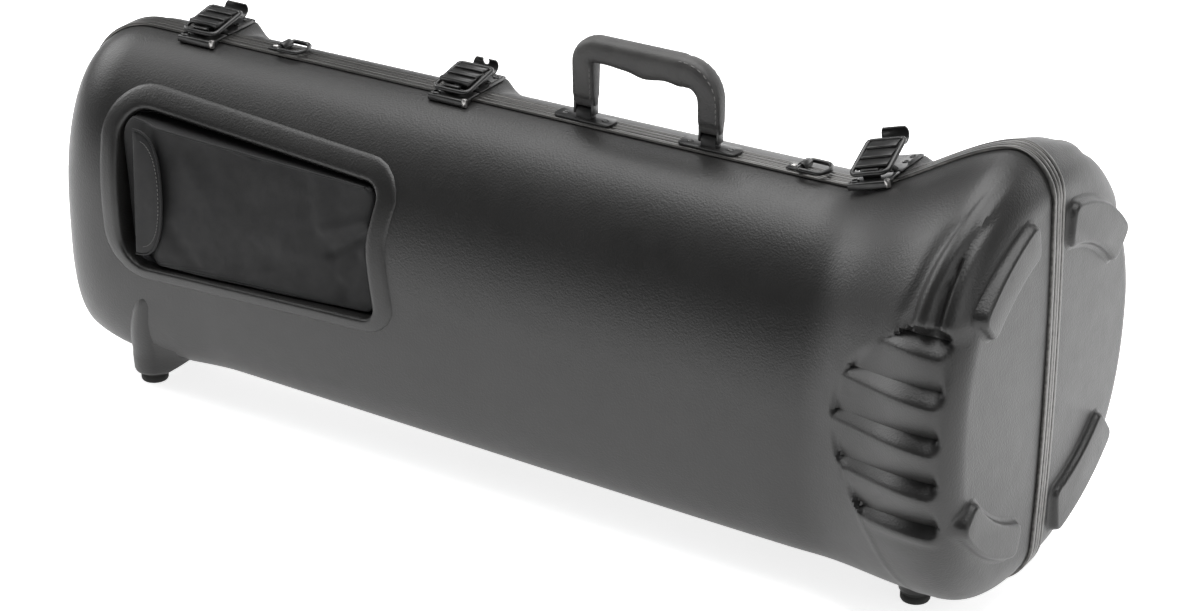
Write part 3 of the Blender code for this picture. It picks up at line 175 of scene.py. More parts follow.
# Moulded seats behind the valance, under the latches
LATCH_PLACES = ((-343.0 * MM, 0.0, 0.0), (-79.0 * MM, 0.0, 0.0), (318.44 * MM, 10.54 * MM, radians(16.83)))
LATCH_LIFTS = (0.0, 0.0, radians(16.0))
LATCH_HALF_WIDTH = 18.5 * MM
VALANCE_PROUD = 2.5 * MM
TOUCH_GAP = 0.3 * MM
SEAT_HALF_WIDTH = 20.5 * MM
SEAT_START = 11.6 * MM
SEAT_END = 47.0 * MM
SEAT_REACH = 61.1 * MM
SEAT_ROUND = 4.0 * MM
SEAT_WALL_SHARE = 1.7
SEAT_BLEND = 16.0 * MM


# The hull


def ease(t):
    t = min(max(t, 0.0), 1.0)
    return t * t * (3 - 2 * t)


def mix(a, b, t):
    return a + (b - a) * t


def turns(angles, steps):
    """Turns in radians, evenly spaced from the first to the second of two angles in degrees."""
    return [radians(mix(*angles, k / steps)) for k in range(steps + 1)]


def bent(value, power):
    """A sine or cosine made squarer or rounder by a power, with its sign kept."""
    return copysign(abs(value) ** (2 / power), value)


def shrink(distance, radius):
    """How far a quarter round of this radius has drawn in, that distance past its start."""
    k = min(max(distance / radius, 0.0), 1.0)
    return radius * (1 - sqrt(1 - k * k))


def smooth_max(a, b, width):
    """The larger of two values, rounded over where they cross."""
    h = max(width - abs(a - b), 0.0) / width
    return max(a, b) + h * h * width / 4


def section(x, side):
    """Half depth, top and bottom of the hull at x, and its upper and lower roundness."""
    along = (x - LEFT_END) / CASE_LENGTH
    taper = (x - LEFT_END) / (TOP_FLARE_START - LEFT_END)
    bell_depth = FRONT_BELL_DEPTH if side < 0 else REAR_BELL_DEPTH
    neck = mix(SMALL_END_DEPTH, NECK_DEPTH, min(taper, 1.0))
    flare = ease((x - SIDE_FLARE_START) / SIDE_FLARE_LENGTH)
    depth = mix(neck, bell_depth, flare)
    top = TOP_HEIGHT + BELL_RISE * ease((x - TOP_FLARE_START) / TOP_FLARE_LENGTH)
    low = mix(SMALL_END_UNDERSIDE, BELL_END_UNDERSIDE, along)
    upper_end = FRONT_BELL_UPPER_POWER_SHARE if side < 0 else REAR_BELL_UPPER_POWER_SHARE
    upper = mix(UPPER_POWER_SHARE, upper_end, flare)
    lower = mix(SMALL_LOWER_POWER_SHARE, NECK_LOWER_POWER_SHARE, ease(taper))
    lower = mix(lower, BELL_LOWER_POWER_SHARE, flare)
    reach = SMALL_END_REACH
    lower = mix(lower, SMALL_END_LOWER_POWER_SHARE, ease((LEFT_END + reach * 2 - x) / reach))
    if x < LEFT_END + reach:
        k = min((LEFT_END + reach - x) / reach, 1.0)
        depth *= (1 - k ** SMALL_END_POWER_SHARE) ** (1 / SMALL_END_POWER_SHARE)
    top -= shrink(LEFT_END + SMALL_END_TOP_RADIUS - x, SMALL_END_TOP_RADIUS)
    low += shrink(LEFT_END + SMALL_END_LOW_RADIUS - x, SMALL_END_LOW_RADIUS)
    low += SMALL_END_LIFT * ease((LEFT_END + SMALL_END_LIFT_REACH - x) / SMALL_END_LIFT_REACH)
    edge = shrink(x - RIGHT_END + BELL_EDGE_RADIUS, BELL_EDGE_RADIUS)
    depth -= shrink(x - RIGHT_END + BELL_SIDE_RADIUS, BELL_SIDE_RADIUS)
    return depth, top - edge, low + edge, upper, lower


def level(z, part):
    """How far from a section's middle a height lies, from 0 to 1, and the roundness there."""
    _, top, low, upper, lower = part
    middle = (top + low) / 2
    return min(abs(z - middle) / ((top - low) / 2), 1.0), upper if z > middle else lower


def surface_depth(x, z, side=-1):
    """How far the hull's skin lies from the parting plane at this x and height."""
    part = section(x, side)
    share, power = level(z, part)
    return part[0] * (1 - share ** power) ** (1 / power)


def surface_normal(x, z):
    """The way that the front half's skin faces."""
    step = MM
    slope_x = (surface_depth(x + step, z) - surface_depth(x - step, z)) / (2 * step)
    slope_z = (surface_depth(x, z + step) - surface_depth(x, z - step)) / (2 * step)
    return Vector((-slope_x, -1.0, -slope_z)).normalized()


def face_place(y, z, side):
    """How far along X the bell end's skin lies at this depth and height."""

    def outside(x):
        part = section(x, side)
        share, power = level(z, part)
        return (abs(y) / part[0]) ** power + share ** power > 1

    if not outside(RIGHT_END):
        part = section(RIGHT_END, side)
        share, power = level(z, part)
        across = 1 - share ** power
        spread = min(abs(y) / max(part[0] * across ** (1 / power), MM), 1.0)
        return RIGHT_END + BELL_FACE_CROWN * (1 - spread ** 2) * across
    near, far = RIGHT_END - 2 * BELL_EDGE_RADIUS, RIGHT_END
    for _ in range(HALVINGS):
        middle = (near + far) / 2
        if outside(middle):
            far = middle
        else:
            near = middle
    return near


def turn_at(z, part):
    """The turn round a section at which its skin has this height."""
    share, power = level(z, part)
    turn = acos(share ** (power / 2))
    return turn if z > (part[1] + part[2]) / 2 else pi - turn


# Small mesh helpers


def new_mesh(name, points, edges=(), faces=()):
    mesh = bpy.data.meshes.new(name)
    mesh.from_pydata([tuple(p) for p in points], edges, faces)
    return mesh


def new_object(name, data):
    made = bpy.data.objects.new(name, data)
    bpy.context.scene.collection.objects.link(made)
    return made


def clean(mesh, flat_angle=0.0, facing=False):
    """Join doubled points, and on request make flat faces whole or turn all the faces one way."""
    bm = bmesh.new()
    bm.from_mesh(mesh)
    bmesh.ops.remove_doubles(bm, verts=bm.verts, dist=CAD_JOIN_GAP if flat_angle else JOIN_GAP)
    if flat_angle:
        bmesh.ops.dissolve_limit(bm, angle_limit=flat_angle, verts=bm.verts, edges=bm.edges)
    if facing:
        bmesh.ops.recalc_face_normals(bm, faces=bm.faces)
    bm.to_mesh(mesh)
    bm.free()


def make_piece(name, points, faces, material, smooth=SMOOTH_DEGREES):
    mesh = new_mesh(name, points, faces=faces)
    clean(mesh, facing=True)
    mesh.shade_smooth()
    mesh.set_sharp_from_angle(angle=radians(smooth))
    mesh.materials.append(material)
    return new_object(name, mesh)


def loft_faces(rings, count, closed=False, caps=True):
    """Faces that join rings of the same number of points."""
    faces = []
    pairs = [(k, k + 1) for k in range(rings - 1)]
    if closed:
        pairs.append((rings - 1, 0))
    for a, b in pairs:
        for k in range(count):
            n = (k + 1) % count
            faces.append((a * count + k, a * count + n, b * count + n, b * count + k))
    if caps and not closed:
        faces.append(tuple(range(count)))
        faces.append(tuple((rings - 1) * count + k for k in reversed(range(count))))
    return faces


def loft(name, rings, material, closed=False, smooth=SMOOTH_DEGREES):
    points = [p for ring in rings for p in ring]
    return make_piece(name, points, loft_faces(len(rings), len(rings[0]), closed), material, smooth)


def scaled(profile):
    return [(a * MM, b * MM) for a, b in profile]


def rounded_outline(corners, turn_step=15.0):
    """An outline from corners given as (a, b, radius), each rounded by an arc."""
    points = []
    count = len(corners)
    for k, (a, b, radius) in enumerate(corners):
        here = Vector((a, b))
        before = (Vector(corners[k - 1][:2]) - here).normalized()
        after = (Vector(corners[(k + 1) % count][:2]) - here).normalized()
        half = before.angle(after) / 2
        if radius <= 0:
            points.append(tuple(here))
            continue
        centre = here + (before + after).normalized() * (radius / sin(half))
        start = here + before * (radius / tan(half)) - centre
        end = here + after * (radius / tan(half)) - centre
        turn = start.angle_signed(end)
        steps = max(2, ceil(abs(turn) / radians(turn_step)))
        for s in range(steps + 1):
            points.append(tuple(centre + Matrix.Rotation(-turn * s / steps, 2) @ start))
    return points


def rounded_box(half, low, high, low_radius, high_radius, turn_step=15.0):
    """The outline of a box with one radius at its two low corners and another at its high ones."""
    return rounded_outline([(-half, low, low_radius), (half, low, low_radius), (half, high, high_radius),
                            (-half, high, high_radius)], turn_step)


def evenly(line, step, closed=True):
    """A line with its points a step apart."""
    points = [Vector(p) for p in line]
    if closed:
        points.append(points[0])
    lengths = [(b - a).length for a, b in zip(points, points[1:])]
    count = max(FEWEST_POINTS, round(sum(lengths) / step))
    gap = sum(lengths) / count
    found = []
    k, walked = 0, 0.0
    for n in range(count if closed else count + 1):
        target = n * gap
        while walked + lengths[k] < target and k < len(lengths) - 1:
            walked += lengths[k]
            k += 1
        share = (target - walked) / max(lengths[k], SMALLEST)
        found.append(points[k].lerp(points[k + 1], min(share, 1.0)))
    return found


def outward(points):
    """Outward directions at the corners of a closed outline that runs clockwise."""
    count = len(points)
    found = []
    for k in range(count):
        before = (points[k] - points[k - 1]).normalized()
        after = (points[(k + 1) % count] - points[k]).normalized()
        found.append(Vector((-(before + after).y, (before + after).x)).normalized())
    return found


def clockwise(outline):
    points = [Vector(p) for p in outline]
    area = sum(points[k - 1].x * p.y - p.x * points[k - 1].y for k, p in enumerate(points))
    return points[::-1] if area > 0 else points


def inside(outline, x, z):
    """Whether a flat point lies inside a closed outline."""
    found = False
    for k, (ax, az) in enumerate(outline):
        bx, bz = outline[k - 1]
        if (az > z) != (bz > z) and x < (bx - ax) * (z - az) / (bz - az) + ax:
            found = not found
    return found


def line_distance(x, z, line):
    """Distance from a flat point to a line of points."""
    here = Vector((x, z))
    gaps = []
    for a, b in zip(line, line[1:]):
        a, b = Vector(a), Vector(b)
        along = b - a
        t = min(max((here - a).dot(along) / along.length_squared, 0.0), 1.0)
        gaps.append((here - (a + along * t)).length)
    return min(gaps)


def settle(made):
    """Turn an object's modifiers into its plain mesh."""
    bpy.context.view_layer.update()
    depsgraph = bpy.context.evaluated_depsgraph_get()
    mesh = bpy.data.meshes.new_from_object(made.evaluated_get(depsgraph), depsgraph=depsgraph)
    made.modifiers.clear()
    made.data = mesh
    return made


def modify(made, kind, **settings):
    """Give an object a modifier with these settings."""
    modifier = made.modifiers.new(kind.lower(), kind)
    for key, value in settings.items():
        setattr(modifier, key, value)
    return made


def rounded(made, width, angle=32.0):
    """Round a piece's sharp edges."""
    modify(made, "BEVEL", width=width, segments=2, limit_method="ANGLE", angle_limit=radians(angle))
    settle(made)
    made.data.shade_smooth()
    made.data.set_sharp_from_angle(angle=EDGE_SMOOTH)
    return made


def walled(made, thickness):
    return settle(modify(made, "SOLIDIFY", thickness=thickness, offset=-1.0))


def merge(name, parts):
    """Join pieces into one mesh under a new name, keeping their materials."""
    bm = bmesh.new()
    materials = []
    for part in parts:
        slots = []
        for material in part.data.materials:
            if material not in materials:
                materials.append(material)
            slots.append(materials.index(material))
        old = len(bm.faces)
        bm.from_mesh(part.data)
        bm.faces.ensure_lookup_table()
        for face in bm.faces[old:]:
            face.material_index = slots[min(face.material_index, len(slots) - 1)]
        bpy.data.objects.remove(part)
    mesh = bpy.data.meshes.new(name)
    bm.to_mesh(mesh)
    bm.free()
    for material in materials:
        mesh.materials.append(material)
    return new_object(name, mesh)


def moved(made, matrix):
    made.data.transform(matrix)
    return made


def fit(made, body, slot, *nodes):
    """Let a finished piece ride on a body and stand for CAD nodes."""
    if nodes:
        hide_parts(*nodes)
    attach(made, body)
    return made


# Materials


def add_node(tree, kind, settings=None, **inputs):
    """A new node with its settings and its inputs, each a value or another node's output."""
    made = tree.nodes.new(kind)
    for name, value in (settings or {}).items():
        setattr(made, name, value)
    for name, value in inputs.items():
        socket = made.inputs[name.replace("_", " ")]
        if isinstance(value, bpy.types.NodeSocket):
            tree.links.new(value, socket)
        else:
            socket.default_value = value
    return made


def combine(tree, kind, *sources, **settings):
    """The output of a node whose first inputs take these sources in order."""
    made = add_node(tree, kind, settings)
    for source, socket in zip(sources, made.inputs):
        tree.links.new(source, socket)
    return made.outputs[0]


DRAWN_SCALE = (6.0, 900.0, 220.0)
WEAVE_DISTORTION = 0.6
TONE_SPREAD_SHARES = (0.35, 0.65)


def draw_pattern(tree, place, spec):
    """The output of a pattern given as its kind, scale and detail."""
    kind, scale, detail = spec
    if kind == "cells":
        cells = add_node(tree, "ShaderNodeTexVoronoi", {"feature": "SMOOTH_F1"}, Vector=place, Scale=scale)
        return cells.outputs["Distance"]
    if kind == "weave":
        waves = [add_node(tree, "ShaderNodeTexWave", {"bands_direction": way}, Vector=place, Scale=scale,
                          Distortion=WEAVE_DISTORTION, Detail=detail) for way in ("X", "Z")]
        threads = [wave.outputs["Fac"] for wave in waves]
        return combine(tree, "ShaderNodeMath", *threads, operation="MULTIPLY")
    if kind == "drawn":
        place = add_node(tree, "ShaderNodeMapping", Vector=place, Scale=DRAWN_SCALE).outputs["Vector"]
    return add_node(tree, "ShaderNodeTexNoise", Vector=place, Scale=scale, Detail=detail).outputs["Fac"]


def new_material(name, values):
    """A material with its shader's own values set, its tree and its shader."""
    material = bpy.data.materials.new(name)
    material.use_nodes = True
    tree = material.node_tree
    shader = tree.nodes["Principled BSDF"]
    for key, value in values.items():
        shader.inputs[key].default_value = value
    return material, tree, shader


def make_material(name, colour, values, tones, gloss, bumps_mm):
    """A material whose tone, roughness and normal follow patterns; each bump has a strength and a depth."""
    material, tree, shader = new_material(name, {"Base Color": (*colour, 1.0), **values})
    material.diffuse_color = (*colour, 1.0)
    place = tree.nodes.new("ShaderNodeTexCoord").outputs["Object"]
    if tones:
        ramp = add_node(tree, "ShaderNodeValToRGB", Fac=draw_pattern(tree, place, tones[0]))
        for stop, share, tone in zip(ramp.color_ramp.elements, TONE_SPREAD_SHARES, tones[1:]):
            stop.position = share
            stop.color = (*tone, 1.0)
        tree.links.new(ramp.outputs["Color"], shader.inputs["Base Color"])
    if gloss:
        spread = add_node(tree, "ShaderNodeMapRange", Value=draw_pattern(tree, place, gloss[0]),
                          To_Min=gloss[1], To_Max=gloss[2])
        tree.links.new(spread.outputs["Result"], shader.inputs["Roughness"])
    normal = None
    for spec, strength, depth in bumps_mm:
        bump = add_node(tree, "ShaderNodeBump", Height=draw_pattern(tree, place, spec), Strength=strength,
                        Distance=depth * MM)
        if normal:
            tree.links.new(normal, bump.inputs["Normal"])
        normal = bump.outputs["Normal"]
    tree.links.new(normal, shader.inputs["Normal"])
    return material


# Name: base colour, the shader's values, pattern and two tones, pattern and range of roughness, bumps in mm
LOOKS = {
    "moulded_plastic": (
        (0.015, 0.0146, 0.014), {"Roughness": 0.42},
        (("cloud", 9.0, 3.0), (0.0105, 0.0102, 0.0098), (0.0135, 0.0131, 0.0126)),
        (("cloud", 60.0, 4.0), 0.36, 0.46),
        ((("cloud", 46.0, 2.0), 0.05, 0.5), (("cells", 620.0, 0.0), 0.6, 0.3),
         (("cloud", 1500.0, 1.0), 0.22, 0.08)),
    ),
    "anodised_valance": (
        (0.10, 0.098, 0.094), {"Roughness": 0.36, "Metallic": 0.85},
        (("drawn", 1.0, 3.0), (0.075, 0.073, 0.070), (0.135, 0.132, 0.127)),
        (("cloud", 30.0, 3.0), 0.30, 0.44),
        ((("drawn", 1.0, 3.0), 0.12, 0.05),),
    ),
    "enamelled_steel": (
        (0.014, 0.014, 0.014),
        {"Roughness": 0.33, "Metallic": 0.25, "Coat Weight": 0.25, "Coat Roughness": 0.25},
        (("cloud", 130.0, 4.0), (0.010, 0.010, 0.010), (0.022, 0.0215, 0.021)),
        (("cloud", 220.0, 3.0), 0.26, 0.42),
        ((("cloud", 420.0, 2.0), 0.16, 0.08),),
    ),
    "bright_steel": (
        (0.42, 0.41, 0.40), {"Roughness": 0.28, "Metallic": 1.0},
        None,
        (("cloud", 400.0, 3.0), 0.2, 0.42),
        ((("cloud", 700.0, 2.0), 0.12, 0.05),),
    ),
    "handle_leather": (
        (0.030, 0.029, 0.028), {"Roughness": 0.52, "Sheen Weight": 0.12, "Sheen Roughness": 0.5},
        (("cloud", 45.0, 4.0), (0.024, 0.023, 0.023), (0.042, 0.041, 0.039)),
        (("cloud", 90.0, 3.0), 0.44, 0.62),
        ((("cloud", 160.0, 3.0), 0.25, 0.35), (("cells", 520.0, 0.0), 0.55, 0.3)),
    ),
    "sole_rubber": (
        (0.016, 0.016, 0.015), {"Roughness": 0.74},
        (("cloud", 70.0, 4.0), (0.012, 0.012, 0.011), (0.026, 0.026, 0.024)),
        None,
        ((("cloud", 900.0, 3.0), 0.3, 0.15),),
    ),
    "pouch_nylon": (
        (0.0072, 0.0073, 0.0076),
        {"Roughness": 0.66, "Sheen Weight": 0.06, "Sheen Roughness": 0.4, "Specular IOR Level": 0.34},
        (("cloud", 24.0, 4.0), (0.0058, 0.0058, 0.006), (0.0092, 0.0092, 0.0096)),
        (("cloud", 110.0, 2.0), 0.6, 0.76),
        ((("cloud", 26.0, 3.0), 0.3, 1.2), (("weave", 260.0, 1.0), 0.35, 0.15)),
    ),
    "lining_plush": (
        (0.030, 0.030, 0.034), {"Roughness": 0.95, "Sheen Weight": 0.5, "Sheen Roughness": 0.6},
        (("cloud", 38.0, 5.0), (0.020, 0.020, 0.023), (0.042, 0.042, 0.047)),
        None,
        ((("cloud", 120.0, 3.0), 0.4, 0.8), (("cloud", 1400.0, 2.0), 0.7, 0.5)),
    ),
    "waxed_thread": (
        (0.11, 0.108, 0.104), {"Roughness": 0.5},
        (("cloud", 600.0, 2.0), (0.085, 0.083, 0.080), (0.14, 0.137, 0.132)),
        None,
        ((("cloud", 2400.0, 2.0), 0.5, 0.1),),
    ),
}
MATERIALS = [make_material(name, *look) for name, look in LOOKS.items()]
PLASTIC, VALANCE, STEEL, BRIGHT, LEATHER, RUBBER, NYLON, PLUSH, THREAD = MATERIALS


# What repeats or follows a path: Geometry Nodes


def new_tree(name, inputs):
    """A Geometry Nodes tree with its named inputs, and the outputs of its first node."""
    tree = bpy.data.node_groups.new(name, "GeometryNodeTree")
    tree.interface.new_socket("Geometry", in_out="OUTPUT", socket_type="NodeSocketGeometry")
    for label, kind in (("Geometry", "Geometry"), *inputs, ("Material", "Material")):
        tree.interface.new_socket(label, in_out="INPUT", socket_type="NodeSocket" + kind)
    return tree, tree.nodes.new("NodeGroupInput").outputs


def end_tree(tree, start, geometry):
    """Close a tree with Realize Instances, smooth shading and its material."""
    whole = add_node(tree, "GeometryNodeRealizeInstances", Geometry=geometry)
    shade = add_node(tree, "GeometryNodeSetShadeSmooth", Geometry=whole.outputs["Geometry"])
    finish = add_node(tree, "GeometryNodeSetMaterial", Geometry=shade.outputs["Geometry"],
                      Material=start["Material"])
    add_node(tree, "NodeGroupOutput", Geometry=finish.outputs["Geometry"])
    return tree


def bar_tree():
    """A round bar that follows the piece's edges."""
    tree, start = new_tree("round_bar", (("Radius", "Float"), ("Sides", "Int")))
    path = add_node(tree, "GeometryNodeMeshToCurve", Mesh=start["Geometry"])
    circle = add_node(tree, "GeometryNodeCurvePrimitiveCircle", Radius=start["Radius"],
                      Resolution=start["Sides"])
    sweep = add_node(tree, "GeometryNodeCurveToMesh", Curve=path.outputs["Curve"],
                     Profile_Curve=circle.outputs["Curve"], Fill_Caps=True)
    return end_tree(tree, start, sweep.outputs["Mesh"])


def spot_tree():
    """A small shape set on each of the piece's points, turned as the points say."""
    tree, start = new_tree("set_on_points", (("Shape", "Object"), ("Scale", "Float")))
    info = add_node(tree, "GeometryNodeObjectInfo", Object=start["Shape"])
    turn = add_node(tree, "GeometryNodeInputNamedAttribute", {"data_type": "FLOAT_VECTOR"}, Name="turn")
    rotation = add_node(tree, "FunctionNodeEulerToRotation", Euler=turn.outputs["Attribute"])
    spots = add_node(tree, "GeometryNodeInstanceOnPoints", Points=start["Geometry"], Scale=start["Scale"],
                     Instance=info.outputs["Geometry"], Rotation=rotation.outputs["Rotation"])
    return end_tree(tree, start, spots.outputs["Instances"])


BAR_TREE = bar_tree()
SPOT_TREE = spot_tree()


def run_tree(name, mesh, tree, **values):
    """Run a tree on a mesh with named values, and keep the result as a piece."""
    made = new_object(name, mesh)
    modifier = made.modifiers.new(tree.name, "NODES")
    modifier.node_group = tree
    for item in tree.interface.items_tree:
        if item.in_out == "INPUT" and item.name in values:
            modifier[item.identifier] = values[item.name]
    return settle(made)


def bar(name, points, radius, material, closed=False, sides=12):
    """A round bar along a path of points."""
    edges = [(k, k + 1) for k in range(len(points) - 1)]
    if closed:
        edges.append((len(points) - 1, 0))
    mesh = new_mesh(name, points, edges)
    return run_tree(name, mesh, BAR_TREE, Radius=radius, Sides=sides, Material=material)


def set_on(name, shape, spots, material, scale=1.0):
    """Copies of a shape on spots, each a place, the way its X runs and the way its Z faces."""
    mesh = new_mesh(name, [spot[0] for spot in spots])
    turn = mesh.attributes.new("turn", "FLOAT_VECTOR", "POINT")
    for k, (_, along, facing) in enumerate(spots):
        facing = Vector(facing).normalized()
        across = facing.cross(Vector(along)).normalized()
        turn.data[k].vector = Matrix((across.cross(facing), across, facing)).transposed().to_euler()
    return run_tree(name, mesh, SPOT_TREE, Shape=shape, Scale=scale, Material=material)


def lathe(name, profile_mm, material, count=20):
    """A shape turned round Z from (radius, height) pairs, closed at both ends."""
    around = [2 * pi * k / count for k in range(count)]
    rings = [[(r * cos(turn), r * sin(turn), z) for turn in around] for r, z in scaled(profile_mm)]
    return loft(name, rings, material, smooth=44.0)


# The shells' skins


def rib_measures(x):
    """How far along the ribs x lies, the height of the top step's inner corner, and each tread's height."""
    along = min(max((x - RIB_LEFT) / (RIB_RIGHT - RIB_LEFT), 0.0), 1.0)
    lean = RIB_LEAN_SHARE * (section(min(x, RIB_RIGHT), -1)[0] - RIB_BASE_DEPTH)
    top = RIB_LOWEST + RIB_PITCH * (RIB_COUNT - 1) + lean
    return along, top, mix(RIB_LEFT_TREAD, RIB_RIGHT_TREAD, along)


def rib_levels(x):
    """Heights of the rows that follow the ribs at x, from above the top step to below the last."""
    _, top, tread = rib_measures(x)
    riser = RIB_PITCH - tread
    levels = []
    for k in range(-1, RIB_COUNT):
        corner = top - RIB_PITCH * k
        if k >= 0:
            levels += [corner - tread * n / TREAD_ROWS for n in range(TREAD_ROWS)]
        levels += [corner - tread - riser * n / RISER_ROWS for n in range(RISER_ROWS)]
    return levels


RIB_ROWS = len(rib_levels(RIB_RIGHT))


def rib_rise(x, z):
    """How far the ribs stand out of the skin here; less than zero where they are sunk into it."""
    along, top, tread = rib_measures(x)
    left = RIB_LEFT + RIB_LEFT_CURVE * (z - RIB_MIDDLE) ** 2
    down = top - z
    if x < left or down < -RIB_TOP_RISER:
        return 0.0
    step = min(int(down / RIB_PITCH + 1) - 1, RIB_COUNT - 1)
    below = down - step * RIB_PITCH
    right = 1 - ease((x - RIB_RIGHT) / RIB_RIGHT_EDGE)
    drop = mix(RIB_LEFT_DROP, RIB_RIGHT_DROP, along) * right
    proud = RIB_PROUD * along * right
    fade = ease((x - left) / RIB_LEFT_EDGE)
    if below < tread:
        k = below / tread
        share = k * (1 + TREAD_BULGE_SHARE * (1 - k ** 3))
    elif step == RIB_COUNT - 1:
        share = 1.0
        fade *= 1 - ease((below - tread) / RIB_END_FADE)
    elif step < 0:
        share = 1 - ease(1 + down / RIB_TOP_RISER)
        proud = 0.0
    else:
        share = 1 - ((below - tread) / (RIB_PITCH - tread)) ** RISER_POWER_SHARE
    return mix(-drop, proud, share) * fade


RIDGES, VALLEYS = [[(scaled(line), width * MM, height * MM) for line, width, height in lines]
                   for lines in (RIDGES_MM, VALLEYS_MM)]
CREASE_LINE = scaled(CREASE_LINE_MM)


def ridge_rise(x, z):
    """The ridges and valleys on the upper flare, and the crease below the ribs."""
    if x < CREASE_LINE[0][0] - CREASE_REACH:
        return 0.0
    if z < CREASE_LINE[0][1]:
        gap = line_distance(x, z, CREASE_LINE)
        return CREASE_HEIGHT * exp(-(gap / CREASE_WIDTH) ** 2) if gap < CREASE_REACH else 0.0
    if z < RIDGE_LOW or z > RIDGE_HIGH:
        return 0.0
    rise = 0.0
    for line, width, height in RIDGES:
        rise += height * (1 - min(line_distance(x, z, line) / width, 1.0) ** 2) ** RIDGE_POWER_SHARE
    for line, width, height in VALLEYS:
        rise -= height * exp(-(line_distance(x, z, line) / width) ** 2)
    return rise * ease((z - RIDGE_LOW) / RIDGE_LOW_FADE) * ease((RIDGE_HIGH - z) / RIDGE_HIGH_FADE)


def wall_drop(past):
    """How far a moulded wall has fallen, that distance past its rounded edge."""
    if past <= 0:
        return 0.0
    if past < SEAT_ROUND:
        return past * past / SEAT_ROUND * SEAT_WALL_SHARE / 2
    return (past - SEAT_ROUND / 2) * SEAT_WALL_SHARE


def latch_frame(x, rise, tilt):
    """The matrix from a latch's own frame, X along its pins and Z off its plates, to the case."""
    height = TOP_HEIGHT + VALANCE_PROUD + TOUCH_GAP + rise
    return Matrix.Translation((x, 0.0, height)) @ Matrix.Rotation(-tilt, 4, "Y")


LATCH_FRAMES = [latch_frame(*place) for place in LATCH_PLACES]


def raise_seats(point):
    """Lift the rear skin to the moulded seats under the latches."""
    for latch in LATCH_FRAMES:
        if abs(point.x - latch.translation.x) > 2 * SEAT_HALF_WIDTH or point.y > SEAT_REACH:
            continue
        if point.z < TOP_HEIGHT / 2:
            continue
        local = latch.inverted() @ point
        drop = wall_drop(abs(local.x) - SEAT_HALF_WIDTH + SEAT_ROUND)
        drop += wall_drop(local.y - SEAT_END + SEAT_ROUND) + wall_drop(SEAT_START - local.y)
        seat = -2 * TOUCH_GAP - drop
        if seat > local.z - SEAT_BLEND:
            local.z = min(smooth_max(local.z, seat, SEAT_BLEND), max(local.z, -2 * TOUCH_GAP))
            point = latch @ local
    return point


def skin_columns():
    """Places along X of the skin's columns, closer where the shape is fine."""
    spans = scaled(CLOSE_SPANS_MM)
    places = [LEFT_END + CLOSE_STEP * share for share in FIRST_COLUMN_SHARES]
    x = LEFT_END + CLOSE_STEP
    finish = RIGHT_END - BELL_SIDE_RADIUS
    while x < finish - CLOSE_STEP / 2:
        places.append(x)
        close = any(a <= x <= b for a, b in spans)
        x += CLOSE_STEP if close else WIDE_STEP
    for k in range(EDGE_COLUMNS + 1):
        places.append(finish + BELL_SIDE_RADIUS * sin(pi / 2 * k / EDGE_COLUMNS))
    return places


def skin_turns(x, part):
    """Turns of the skin's rows at x: even in the body, on the ribs' levels in the flare."""
    count = UPPER_ROWS + RIB_ROWS + LOWER_ROWS
    even = [pi * k / (count - 1) for k in range(count)]
    weight = ease((x - LEVEL_BLEND_START) / LEVEL_BLEND_LENGTH)
    if weight == 0:
        return even
    levels = [turn_at(z, part) for z in rib_levels(x)]
    fitted = [levels[0] * k / UPPER_ROWS for k in range(UPPER_ROWS)]
    fitted += levels
    fitted += [mix(levels[-1], pi, k / LOWER_ROWS) for k in range(1, LOWER_ROWS + 1)]
    return [mix(a, b, weight) for a, b in zip(even, fitted)]


def skin_row(x, side, spread=1.0, crown=0.0):
    part = section(x, side)
    depth, top, low, upper, lower = part
    row = []
    for turn in skin_turns(x, part):
        power = upper if turn < pi / 2 else lower
        reach = bent(sin(turn), power) * depth * spread
        lift = (top + low) / 2 + (top - low) / 2 * bent(cos(turn), power)
        point = Vector((x + crown * sin(turn) ** 2, side * reach, lift))
        if spread == 1.0:
            out = abs(point.y)
            out += ridge_rise(x, point.z) * min(out / RIDGE_FADE_DEPTH, 1.0) + rib_rise(x, point.z)
            point.y = side * out
            if side > 0:
                point = raise_seats(point)
        point.y = side * max(abs(point.y), SHELL_RIM)
        row.append(point)
    return row


def make_skin(side, name, hole=None):
    """Half of the case's outer skin as a wall, open at the parting plane and over the hole."""
    rows = [skin_row(x, side) for x in skin_columns()]
    for k in range(1, CAP_COLUMNS + 1):
        spread = 1 - k / CAP_COLUMNS
        rows.append(skin_row(RIGHT_END, side, spread, BELL_FACE_CROWN * (1 - spread ** 2)))
    count = len(rows[0])
    faces = []
    for a in range(len(rows) - 1):
        for k in range(count - 1):
            centre = (rows[a][k] + rows[a + 1][k + 1]) / 2
            if hole and inside(hole, centre.x, centre.z):
                continue
            quad = (a * count + k, a * count + k + 1, (a + 1) * count + k + 1, (a + 1) * count + k)
            faces.append(quad if side > 0 else quad[::-1])
    skin = make_piece(name, [p for row in rows for p in row], faces, PLASTIC, smooth=32.0)
    middle = skin.data.polygons[len(skin.data.polygons) // 2]
    if middle.normal.y * side < 0:
        skin.data.flip_normals()
    return walled(skin, SHELL_WALL)


# The outside pocket's moulding

